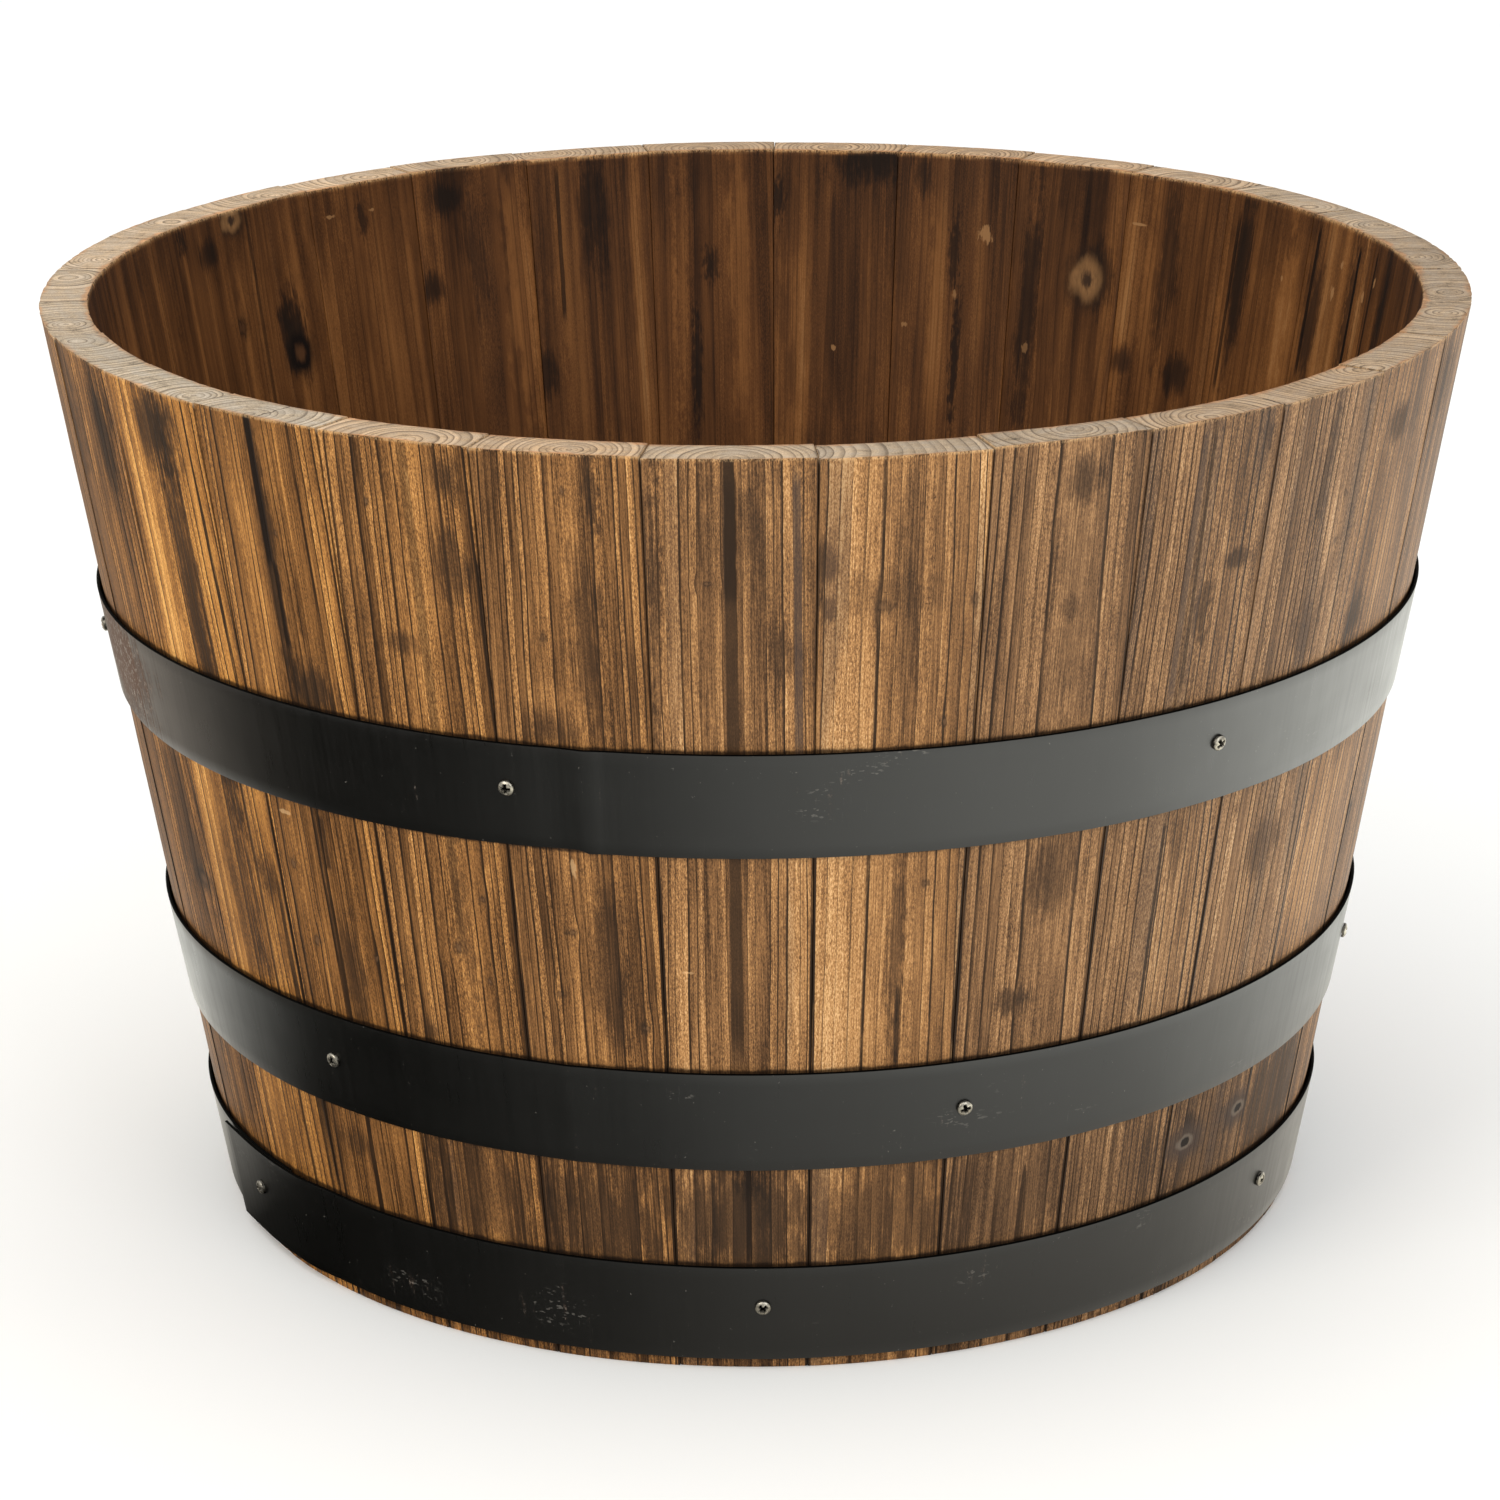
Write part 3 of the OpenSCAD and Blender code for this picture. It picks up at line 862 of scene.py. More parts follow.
# Marks that the photograph shows, as kind, angle, height, width, length and strength
SPOT_ROWS = (
    # outer faces, left of the front
    (Mark.SCORCH, -70.0, 372, 40, 80, 0.7),
    (Mark.SCORCH, -61.0, 378, 24, 60, 1.2),
    # the broad soft burns at about 70 mm, here and at the front and right, darken the band between the foot
    # and middle hoops: partly soot, partly painted shade between the hoops
    (Mark.SCORCH, -64.0, 72, 70, 70, 0.4),
    (Mark.SCORCH, -51.6, 188, 70, 110, 0.6),
    (Mark.SCORCH, -51.6, 70, 70, 70, 0.3),
    (Mark.SCORCH, -26.7, 70, 80, 70, 0.8),
    (Mark.PALE, -26.7, 190, 70, 110, 0.3),
    (Mark.SPLIT, -38.8, 400, 1.0, 10, 0.9),
    (Mark.SPLIT, 41.2, 400, 1.2, 10, 1.0),
    (Mark.SCORCH, -62.0, 200, 32, 110, 0.7),
    (Mark.KNOT, -60.0, 177, 12, 9, 0.6),
    (Mark.CHECK, -57.4, 350, 1.6, 60, 0.6),
    (Mark.PALE, -55.0, 270, 19, 300, 1.9),
    (Mark.SCORCH, -51.2, 386, 30, 44, 1.5),
    (Mark.SCORCH, -50.4, 300, 13, 260, 1.3),
    (Mark.PALE, -47.0, 300, 12, 180, 1.4),
    (Mark.SCORCH, -47.6, 196, 13, 22, 1.0),
    (Mark.PALE, -42.6, 330, 24, 150, 0.9),
    (Mark.CHECK, -39.7, 374, 3.4, 70, 1.0),
    (Mark.CHECK, -39.2, 326, 2.4, 40, 0.9),
    (Mark.SCORCH, -39.6, 350, 9, 130, 0.9),
    (Mark.SCORCH, -37.4, 290, 30, 26, 1.0),
    (Mark.PIN_KNOT, -38.5, 357, 2.4, 4, 0.7),
    (Mark.CHECK, -38.9, 222, 2.8, 26, 0.7),
    (Mark.SCORCH, -38.0, 165, 12, 60, 0.7),
    (Mark.PIN_KNOT, -43.3, 208, 3.4, 5, 0.7),
    (Mark.PIN_KNOT, -42.0, 174, 3.4, 5, 0.7),
    (Mark.PIN_KNOT, -35.0, 174, 3, 5, 0.6),
    (Mark.SCORCH, -41.0, 80, 22, 16, 0.6),
    (Mark.CHIP, -43.2, 231, 9, 2.6, 0.6),
    (Mark.PITH, -25.8, 300, 4.2, 240, 0.55),
    (Mark.PIN_KNOT, -29.3, 378, 2.2, 4, 0.8),
    (Mark.SCORCH, -27.8, 320, 15, 10, 0.8),
    (Mark.SCORCH, -22.9, 354, 18, 34, 0.8),
    (Mark.SCORCH, -22.6, 392, 12, 20, 0.7),
    (Mark.PIN_KNOT, -26.0, 188, 5, 6, 0.8),
    (Mark.SCORCH, -25.3, 190, 7, 110, 0.6),
    (Mark.PIN_KNOT, -23.4, 211, 2.6, 4, 0.8),
    (Mark.PIN_KNOT, -23.5, 174, 2.2, 3, 0.7),
    (Mark.SCORCH, -30.0, 146, 10, 14, 0.7),
    (Mark.SCORCH, -11.7, 390, 7, 40, 0.7),
    (Mark.SCORCH, -12.8, 330, 13, 100, 0.7),
    (Mark.SCORCH, -15.5, 289, 28, 20, 0.7),
    (Mark.PALE, -16.0, 303, 26, 14, 0.6),
    (Mark.PIN_KNOT, -16.0, 328, 2.6, 5, 0.8),
    (Mark.PIN_KNOT, -13.8, 390, 2.2, 4, 0.7),
    (Mark.CHECK, -20.6, 332, 1.5, 60, 0.9),
    (Mark.SCORCH, -12.5, 188, 14, 110, 0.6),
    (Mark.PIN_KNOT, -15.7, 201, 4, 3, 0.7),
    (Mark.PIN_KNOT, -17.0, 173, 3.6, 3, 0.6),
    (Mark.PIN_KNOT, -9.8, 160, 4, 5, 0.8),
    (Mark.CHIP, -15.0, 230, 2.6, 9, 0.6),
    # outer faces, the front stave
    (Mark.PITH, -1.95, 272, 5.2, 280, 0.85),
    (Mark.PITH, -1.95, 378, 4.6, 70, 0.9),
    (Mark.CHECK, -1.2, 74, 2.2, 50, 0.8),
    # broad soft burns at 70 mm: partly soot, partly painted shade between the foot and middle hoops
    (Mark.SCORCH, -14.0, 70, 80, 70, 0.9),
    (Mark.SCORCH, -2.0, 70, 80, 70, 1.2),
    (Mark.SCORCH, 10.5, 70, 80, 70, 0.9),
    (Mark.SCORCH, 23.0, 70, 80, 70, 0.65),
    (Mark.SCORCH, 35.0, 70, 80, 70, 0.4),
    (Mark.SCORCH, 47.8, 70, 80, 70, 0.6),
    (Mark.SCORCH, 60.2, 70, 80, 70, 0.8),
    (Mark.SCORCH, -1.9, 350, 70, 120, 0.3),
    (Mark.PALE, 10.5, 190, 80, 110, 0.3),
    (Mark.PALE, 35.3, 190, 80, 110, 0.4),
    (Mark.PALE, 47.8, 190, 80, 110, 0.7),
    (Mark.PALE, 60.2, 190, 80, 110, 0.9),
    (Mark.SCORCH, -1.2, 90, 12, 14, 0.8),
    (Mark.SCORCH, -7.4, 345, 5, 130, 0.7),
    (Mark.PIN_KNOT, -3.7, 354, 4.4, 2, 0.7),
    (Mark.SCORCH, 1.6, 326, 9, 32, 0.8),
    (Mark.STREAK, 2.9, 340, 3.4, 130, 0.9),
    (Mark.SCORCH, -0.6, 375, 9, 50, 0.5),
    (Mark.CHIP, -6.0, 186, 7, 1.4, 0.5),
    # outer faces, right of the front
    (Mark.SCORCH, 5.0, 361, 11, 22, 1.0),
    (Mark.SCORCH, 5.0, 343, 7, 12, 1.0),
    (Mark.SCORCH, 9.4, 349, 44, 22, 0.4),
    (Mark.PIN_KNOT, 9.2, 343, 6, 6, 0.6),
    (Mark.PIN_KNOT, 16.0, 343, 3.6, 6, 0.7),
    (Mark.PIN_KNOT, 14.2, 293, 2.6, 4, 0.7),
    (Mark.SCORCH, 10.9, 345, 9, 120, 0.5),
    (Mark.CHECK, 11.6, 160, 2.0, 40, 0.8),
    (Mark.SCORCH, 11.2, 195, 7, 90, 0.7),
    (Mark.PIN_KNOT, 13.4, 223, 3, 4, 0.7),
    (Mark.SCORCH, 23.8, 388, 14, 26, 0.9),
    (Mark.SCORCH, 23.6, 335, 9, 10, 0.6),
    (Mark.SCORCH, 24.4, 345, 20, 130, 0.4),
    (Mark.SCORCH, 24.2, 220, 20, 40, 0.8),
    (Mark.SCORCH, 21.6, 165, 14, 12, 0.9),
    (Mark.PIN_KNOT, 23.0, 166, 3.4, 4, 0.7),
    (Mark.STREAK, 34.0, 345, 3.0, 125, 0.7),
    (Mark.PITH, 34.9, 345, 1.8, 125, 0.7),
    (Mark.SCORCH, 36.0, 324, 8, 30, 0.9),
    (Mark.SCORCH, 38.8, 343, 16, 8, 0.9),
    (Mark.SCORCH, 40.3, 394, 5, 20, 0.8),
    (Mark.CHECK, 35.3, 188, 1.6, 100, 0.9),
    (Mark.SCORCH, 37.0, 222, 10, 40, 0.6),
    (Mark.PALE, 31.0, 200, 8, 90, 0.5),
    (Mark.SCORCH, 48.2, 378, 6, 60, 0.8),
    (Mark.PALE, 50.2, 345, 12, 40, 0.7),
    (Mark.PIN_KNOT, 51.3, 357, 2.2, 3, 0.8),
    (Mark.PIN_KNOT, 51.1, 337, 2.2, 3, 0.8),
    (Mark.SCORCH, 49.0, 302, 20, 32, 0.6),
    (Mark.SCORCH, 48.4, 206, 20, 32, 0.8),
    (Mark.NAIL, 44.3, 73, 10, 7, 1.0),
    (Mark.NAIL, 52.6, 77, 10, 7, 1.0),
    (Mark.SCORCH, 44.6, 78, 14, 22, 0.8),
    (Mark.SCORCH, 50.8, 78, 14, 18, 0.6),
    (Mark.SCORCH, 58.5, 379, 17, 17, 1.0),
    (Mark.PALE, 60.6, 322, 20, 80, 0.8),
    (Mark.SCORCH, 57.2, 297, 18, 22, 0.7),
    (Mark.PIN_KNOT, 57.8, 325, 2.4, 14, 0.7),
    (Mark.PIN_KNOT, 60.6, 150, 3, 5, 0.8),
    (Mark.SCORCH, 68.5, 384, 40, 36, 0.6),
    (Mark.PIN_KNOT, 67.0, 195, 6, 6, 0.9),
    # inner faces, left of the back
    (Mark.PALE, 246.4, 345, 80, 200, 0.2),
    (Mark.PALE, 234.0, 345, 80, 200, 0.6),
    (Mark.PALE, 221.5, 345, 80, 200, 0.5),
    (Mark.PALE, 209.1, 345, 80, 200, 0.3),
    (Mark.SCORCH, 196.7, 330, 80, 180, 0.3),
    (Mark.SCORCH, 247.0, 396, 8, 14, 1.0),
    (Mark.SCORCH, 243.0, 385, 18, 14, 0.8),
    (Mark.PALE_KNOT, 238.5, 397, 16, 13, 0.8),
    (Mark.PIN_KNOT, 239.6, 347, 8, 9, 0.7),
    (Mark.CHECK, 236.4, 350, 2.0, 110, 0.5),
    (Mark.SCORCH, 232.2, 337, 16, 40, 1.5),
    (Mark.KNOT, 231.8, 328, 12, 15, 1.0),
    (Mark.SCORCH, 221.6, 386, 6, 18, 0.8),
    (Mark.SCORCH, 212.0, 388, 18, 16, 1.0),
    (Mark.SCORCH, 214.3, 346, 11, 17, 1.0),
    (Mark.SCORCH, 209.0, 355, 10, 60, 0.6),
    (Mark.PALE, 204.6, 345, 16, 190, 1.1),
    (Mark.PALE, 199.0, 345, 10, 180, 0.7),
    (Mark.SCORCH, 202.6, 298, 14, 24, 0.8),
    (Mark.CHECK, 200.0, 360, 2.2, 80, 0.6),
    (Mark.SCORCH, 196.5, 375, 16, 70, 0.7),
    (Mark.PALE, 191.8, 335, 9, 180, 1.0),
    (Mark.PALE, 187.6, 345, 8, 170, 0.9),
    (Mark.PALE, 181.6, 345, 11, 180, 1.0),
    (Mark.SCORCH, 186.2, 295, 5, 60, 0.9),
    (Mark.SCORCH, 184.5, 346, 8, 16, 0.8),
    # inner faces, right of the back
    (Mark.SCORCH, 171.9, 345, 80, 200, 0.3),
    (Mark.SCORCH, 159.5, 345, 80, 200, 0.2),
    (Mark.SCORCH, 147.1, 345, 80, 200, 0.25),
    (Mark.PALE, 122.2, 345, 80, 200, 0.4),
    (Mark.PALE, 109.8, 345, 80, 200, 0.8),
    (Mark.SCORCH, 177.8, 378, 8, 20, 1.0),
    (Mark.PALE, 174.5, 330, 7, 140, 0.5),
    (Mark.SCORCH, 168.5, 396, 36, 22, 1.0),
    (Mark.SCORCH, 163.2, 392, 10, 24, 0.8),
    (Mark.PALE, 161.0, 330, 9, 170, 0.9),
    (Mark.SCORCH, 158.8, 300, 5, 70, 1.1),
    (Mark.SCORCH, 159.4, 355, 6, 40, 0.8),
    (Mark.CHIP, 156.2, 364, 8, 9, 0.9),
    (Mark.CHIP, 159.2, 334, 3, 5, 0.7),
    (Mark.CHIP, 171.8, 305, 2.6, 3, 0.8),
    (Mark.CHIP, 164.4, 318, 3, 2.6, 0.7),
    (Mark.CHIP, 110.6, 370, 3.6, 6, 1.2),
    (Mark.CHIP, 109.8, 384, 2.6, 5, 1.0),
    (Mark.CHIP, 104.5, 374, 3, 6, 1.1),
    (Mark.CHIP, 102.4, 383, 3, 5, 1.0),
    (Mark.CHIP, 119.5, 368, 2.6, 3, 0.8),
    (Mark.CHIP, 225.4, 388, 6, 1.8, 0.8),
    (Mark.CHIP, 220.3, 388, 3, 2, 0.8),
    (Mark.SCORCH, 151.0, 330, 10, 140, 0.7),
    (Mark.CHIP, 151.0, 312, 3, 7, 0.5),
    (Mark.SCORCH, 143.0, 350, 14, 34, 0.7),
    (Mark.PALE_KNOT, 144.6, 348, 19, 24, 1.0),
    (Mark.PALE, 139.8, 362, 30, 130, 1.2),
    (Mark.SCORCH, 139.8, 312, 14, 14, 1.0),
    (Mark.CHIP, 139.2, 378, 10, 1.8, 1.0),
    (Mark.SCORCH, 135.2, 360, 14, 80, 0.8),
    (Mark.SCORCH, 132.4, 311, 16, 20, 1.0),
    (Mark.SCORCH, 125.6, 365, 12, 90, 1.2),
    (Mark.CHECK, 126.8, 350, 2.2, 90, 0.6),
    (Mark.PALE, 118.4, 350, 9, 110, 1.3),
    (Mark.SCORCH, 113.5, 355, 12, 70, 1.2),
    (Mark.CHECK, 114.6, 362, 2.4, 76, 0.7),
    (Mark.CHECK, 106.6, 366, 2.4, 64, 0.8),
    (Mark.SCORCH, 107.2, 360, 6, 80, 1.0),
    (Mark.PALE, 105.0, 365, 5, 80, 1.2),
    (Mark.CHECK, 102.8, 368, 2, 60, 0.7),
    (Mark.SCORCH, 99.4, 376, 9, 60, 1.1),
)
SPOTS = [Spot(*row) for row in SPOT_ROWS]

# How the boards that the photograph shows were cut: where the log's heart lies across and below the
# outer face, the rings' width, how light the wood is, how much it was torched, how golden it is and
# how much its rings differ
# How golden a board is stands partly for painted light: warm on the left boards, cool on the right ones.
CUTS: dict[int, tuple[float, ...]] = {
    22: (-14.0, -8.0, 3.4, 0.45, 0.0, 0.3),
    23: (10.0, -9.0, 3.4, 0.44, 0.3, 0.4),
    24: (-20.0, -8.0, 3.6, 0.43, 0.2, 0.9),
    25: (24.0, -8.0, 3.2, 0.50, -0.5, 1.1),
    26: (-2.0, -2.0, 3.6, 0.455, -0.4, 0.8),
    27: (5.0, -1.5, 3.6, 0.42, -0.4, 0.5),
    28: (4.0, -6.0, 2.6, 0.43, -0.4, 0.2, 0.24),
    0: (0.0, -1.0, 3.8, 0.46, -0.8, -0.2, 0.40),
    1: (-46.0, -12.0, 4.3, 0.55, -0.8, -0.2, 0.34),
    2: (6.0, -13.0, 3.6, 0.48, -0.5, -0.75, 0.24),
    3: (-3.0, -3.0, 2.6, 0.44, -0.5, -0.9, 0.20),
    4: (30.0, -10.0, 3.2, 0.43, -0.3, -1.0, 0.22),
    5: (-30.0, -8.0, 3.6, 0.45, -0.5, -0.5, 0.24),
    6: (10.0, -9.0, 3.2, 0.43, -0.2, -0.2, 0.24),
    7: (-12.0, -9.0, 3.6, 0.44, 0.0, -0.2),
}

# How light and how warm the weathered rim is, by angle: palest at the left, darkest at the front right
RIM_WEATHER: tuple[Triple, ...] = (
    (-95, 1.10, 0.05), (-60, 1.05, -0.08), (-40, 1.15, -0.08), (-20, 1.04, 0.35), (0, 0.98, 0.05),
    (20, 0.83, 0.03), (42, 0.76, 0.28), (65, 0.87, 0.12), (95, 0.84, 0.12), (120, 0.96, 0.06),
    (150, 0.94, 0.36), (180, 0.86, 0.30), (200, 0.95, 0.22), (225, 1.19, 0.15), (265, 1.20, 0.08),
)


# ------------------------- Staves


@dataclass
class StaveRing:
    """The ring of staves: one is modelled as a blank, and each copy is worn in its own way."""

    barrel: Barrel = BARREL
    seam_gap: float = 0.00016
    groove_low: float = 0.032
    groove_high: float = 0.0463
    groove_depth: float = 0.006
    arris: float = 0.00038
    columns: int = 20
    row_step: float = 0.012
    rim_rows: Triple = (0.0014, 0.0026, 0.005)
    saw_spare: float = 0.02
    # painted shade: how much darker the inner faces are drawn, inside the barrel
    inner_shade: float = 0.46
    # how much of the inner faces' painted shade the inner arris keeps: less, so it shows as a painted
    # highlight on worn wood
    arris_shade: float = 0.3
    inset: float = 0.00045
    sunk: float = 0.0008
    tilt: float = 0.010
    shrink: float = 0.00012
    sink_from: float = 0.35
    sink_over: float = 0.05
    swell: float = 0.00018
    brushed_off: float = 0.0002
    rim_chip: float = 0.0007
    arris_notch: float = 0.0005
    saw_mark: float = 0.00012
    slot: str = "stave_wood"
    seed: int = 11
    boards: list[Board] = field(default_factory=list)

    def blank(self) -> bpy.types.Object:
        """Models one stave about the front of the barrel.

        Returns:
            The stave, centred on -Y.
        """
        barrel = self.barrel
        wall = barrel.stave_thickness
        slant = barrel.slant(barrel.height)
        clear_selection()
        bpy.ops.mesh.primitive_plane_add(size=1.0)
        stave = bpy.context.object
        edit(stave)
        bpy.ops.transform.resize(value=(wall, slant + 2 * self.saw_spare, 1.0))
        bpy.ops.transform.translate(value=(-wall / 2, slant / 2, 0.0))
        turn_selected(90.0, "X")
        turn_selected(math.degrees(barrel.taper), "Y")
        bpy.ops.transform.translate(value=(barrel.foot_radius, 0.0, 0.0))
        close_edit()
        cut(stave, (0, 0, 0), (0, 0, -1), clear=True)
        cut(stave, (0, 0, barrel.height), (0, 0, 1), clear=True)
        self.cut_groove(stave)
        half = math.radians(barrel.pitch) / 2 - self.seam_gap / 2 / barrel.rim_radius
        edit(stave)
        turn_selected(-90.0 - math.degrees(half), "Z")
        bpy.ops.mesh.spin(steps=self.columns, angle=2 * half, center=(0, 0, 0), axis=(0, 0, -1))
        close_edit()
        outward_normals(stave)
        ease_edges(stave, self.arris)
        self.cut_rows(stave)
        return stave

    def cut_groove(self, stave: bpy.types.Object) -> None:
        """Cuts the groove for the floor out of the section."""
        barrel = self.barrel
        low, high = self.groove_low, self.groove_high
        groove = barrel.face_radius(low) - barrel.stave_thickness / math.cos(barrel.taper) + self.groove_depth
        for height in (low, high):
            cut(stave, (0, 0, height), (0, 0, 1))
        cut(stave, (groove, 0, 0), (1, 0, 0))

        def in_groove(face: bmesh.types.BMFace) -> bool:
            """Whether a face of the section lies in the groove."""
            middle = face.calc_center_median()
            return middle.x < groove and low < middle.z < high

        edit_faces(stave, in_groove)
        bpy.ops.mesh.delete(type="FACE")
        close_edit()

    def cut_rows(self, stave: bpy.types.Object) -> None:
        """Divides the stave along its height, closely at the rim."""
        height = self.barrel.height
        count = int(height / self.row_step)
        rows = [(i + 1) * height / (count + 1) for i in range(count)]
        for z in rows + [height - row for row in self.rim_rows]:
            cut(stave, (0, 0, z), (0, 0, 1))

    def choose_boards(self) -> None:
        """Picks how each stave was cut from its log and how hard it was torched."""
        dice = random.Random(self.seed)
        for index in range(self.barrel.stave_count):
            self.boards.append(
                Board(
                    seed=3.0 + 1.37 * index,
                    heart_across_mm=dice.uniform(-18, 18),
                    heart_depth_mm=dice.uniform(-17, -5),
                    ring_mm=dice.uniform(2.1, 3.6),
                    tone=dice.uniform(0.44, 0.58),
                    char=dice.uniform(0.0, 0.6),
                )
            )
        for index, cut_as in CUTS.items():
            self.boards[index] = Board(self.boards[index].seed, *cut_as)
        angles, lights, warmths = zip(*RIM_WEATHER)
        for index, board in enumerate(self.boards):
            angle = (self.barrel.stave_angle(index) - angles[0]) % 360.0 + angles[0]
            light = float(np.interp(angle, angles, lights)) * dice.uniform(0.95, 1.05)
            warmth = float(np.interp(angle, angles, warmths))
            self.boards[index] = replace(board, rim_light=light, rim_warmth=warmth)

    def build(self) -> None:
        """Models, copies, wears and dresses every stave."""
        self.choose_boards()
        blank = self.blank()
        for index, board in enumerate(self.boards):
            stave = copy_of(blank)
            self.wear(stave, index)
            stave.data.transform(Matrix.Rotation(math.radians(self.barrel.stave_angle(index)), 4, "Z"))
            smooth(stave)
            number = f"{index + 1:02d}"
            wood = FIR.dress(f"scorched_fir_{number}", board, self.local_spots(index), self.inner_shade)
            finish_piece(stave, wood, f"fir_stave_{number}", self.slot, f"stave_{number}")
        bpy.data.objects.remove(blank)

    def local_spots(self, index: int) -> list[Spot]:
        """The marks on a stave, each with its place across it."""
        barrel = self.barrel
        found = []
        for spot in SPOTS:
            if barrel.nearest_stave(spot.angle) % barrel.stave_count == index:
                off = turn_between(barrel.stave_angle(index), spot.angle)
                wall_mm = barrel.stave_thickness / MM if spot.inside else 0.0
                radius_mm = barrel.face_radius(spot.height_mm * MM) / MM - wall_mm
                found.append(replace(spot, across_mm=radius_mm * math.radians(off)))
        return found

    def wear(self, stave: bpy.types.Object, index: int) -> None:
        """Stores the grain's directions on a stave and wears it, while it still faces the front.

        Args:
            stave: the stave, centred on -Y.
            index: which stave it is.
        """
        barrel = self.barrel
        dice = random.Random(self.seed * 100 + index)
        inset = dice.uniform(0.0, self.inset)
        sunk = dice.uniform(0.0, self.sunk)
        tilt = dice.uniform(-self.tilt, self.tilt)
        shrink = (dice.uniform(0.0, self.shrink), dice.uniform(0.0, self.shrink))
        shift = Vector((index * 3.1, index * 1.7, index * 5.3))
        half_pitch = math.radians(barrel.pitch) / 2
        vertices = stave.data.vertices
        fibre = np.zeros((len(vertices), 3), np.float32)
        parts = np.zeros((len(vertices), 3), np.float32)
        for vertex in vertices:
            place = vertex.co.copy()
            x, y, z = place
            radius = math.hypot(x, y)
            turn = math.atan2(x, -y)
            along, off = barrel.from_face(-y, z)
            fibre[vertex.index] = (x / MM, off / MM, along / MM)
            _, off = barrel.from_face(radius, z)
            from_rim = barrel.height - z
            on_rim = from_rim < 1e-5
            on_face = abs(off) < 1e-5
            in_bore = off < -barrel.stave_thickness * 0.6
            near_arris = not on_rim and from_rim < self.arris * 1.2
            at_seam = abs(turn) > half_pitch * 0.986 and from_rim < 0.0016
            sawn = on_rim or (at_seam and not on_face)
            # painted highlight with wear: the inner arris, and a patchy band just under it, keep less of the
            # inner face's painted shade
            bore = self.arris_shade if near_arris else 1.0
            if not near_arris and from_rim < self.rim_rows[0] * 1.1:
                bore = min(1.0, max(self.arris_shade, 0.6 + noise.noise(place * 60.0 + shift) * 0.8))
            parts[vertex.index] = (1.0 if sawn else 0.0, bore if in_bore else 0.0, 1.0 if near_arris else 0.0)
            move = -inset
            if on_face or in_bore:
                move += noise.noise(place * 28.0 + shift) * self.swell - self.brushed_off
            if on_rim or from_rim < self.arris * 1.6:
                outwards = 1.0 if off > -barrel.stave_thickness / 2 else -1.0
                move -= max(0.0, noise.noise(place * 420.0 + shift)) * self.rim_chip * outwards
                lost = self.arris_notch if near_arris else self.saw_mark
                z -= max(0.0, noise.noise(place * 300.0 - shift)) * lost
            if z > self.sink_from:
                z -= max(0.0, sunk + tilt * x) * (z - self.sink_from) / self.sink_over
            if abs(turn) > half_pitch * 0.94:
                turn -= math.copysign(shrink[0 if turn < 0 else 1] / radius, turn)
            radius += move * math.cos(barrel.taper)
            vertex.co = (radius * math.sin(turn), -radius * math.cos(turn), min(z, barrel.height))
        store(stave, "fibre", fibre)
        store(stave, "parts", parts)


# ------------------------- Floor


@dataclass
class Floor:
    """The planks in the groove and the battens under them, as copies of their nodes with eased edges."""

    plank_count: int = 5
    edge: float = 0.0008
    slot: str = "floor_wood"
    # painted shade: the planks inside the barrel are drawn darker by this factor
    shade: float = 0.55
    seed: int = 5

    def eased_copy(self, node: str) -> bpy.types.Object:
        """A copy of a node with clean faces and bevelled edges."""
        piece = copy_of(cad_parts[node])
        piece.parent = None
        for key in list(piece.keys()):
            del piece[key]
        edit(piece)
        bpy.ops.mesh.remove_doubles(threshold=1e-6)
        bpy.ops.mesh.dissolve_limited(angle_limit=math.radians(0.8))
        close_edit()
        ease_edges(piece, self.edge)
        return piece

    def lay_grain(self, piece: bpy.types.Object, lengthways: str) -> None:
        """Stores the grain's directions on a plank or batten.

        Args:
            piece: the plank or batten.
            lengthways: X or Y, the way that its grain runs.
        """
        places = np.array([v.co for v in piece.data.vertices], np.float32).reshape(-1, 3) / MM
        x, y, z = places.T
        grain = (y - y.mean(), z, x) if lengthways == "X" else (x - x.mean(), z, y)
        store(piece, "fibre", np.stack(grain, 1))
        store(piece, "parts", np.tile((0.0, 1.0, 0.0), (len(x), 1)))

    def build(self) -> None:
        """Makes the planks and the battens."""
        dice = random.Random(self.seed)
        jobs = [(f"floor_plank_{i + 1}", "X") for i in range(self.plank_count)]
        jobs += [("left_batten", "Y"), ("right_batten", "Y")]
        for number, (node, lengthways) in enumerate(jobs):
            piece = self.eased_copy(node)
            self.lay_grain(piece, lengthways)
            heart = (dice.uniform(-20, 20), dice.uniform(60, 120))
            board = Board(90.0 + number * 2.3, *heart, ring_mm=4.0, tone=dice.uniform(0.4, 0.6), char=0.3)
            smooth(piece)
            wood = FIR.dress(f"sawn_fir_{node}", board, [], self.shade)
            finish_piece(piece, wood, f"fir_{node}", self.slot, node)


# ------------------------- Hoops


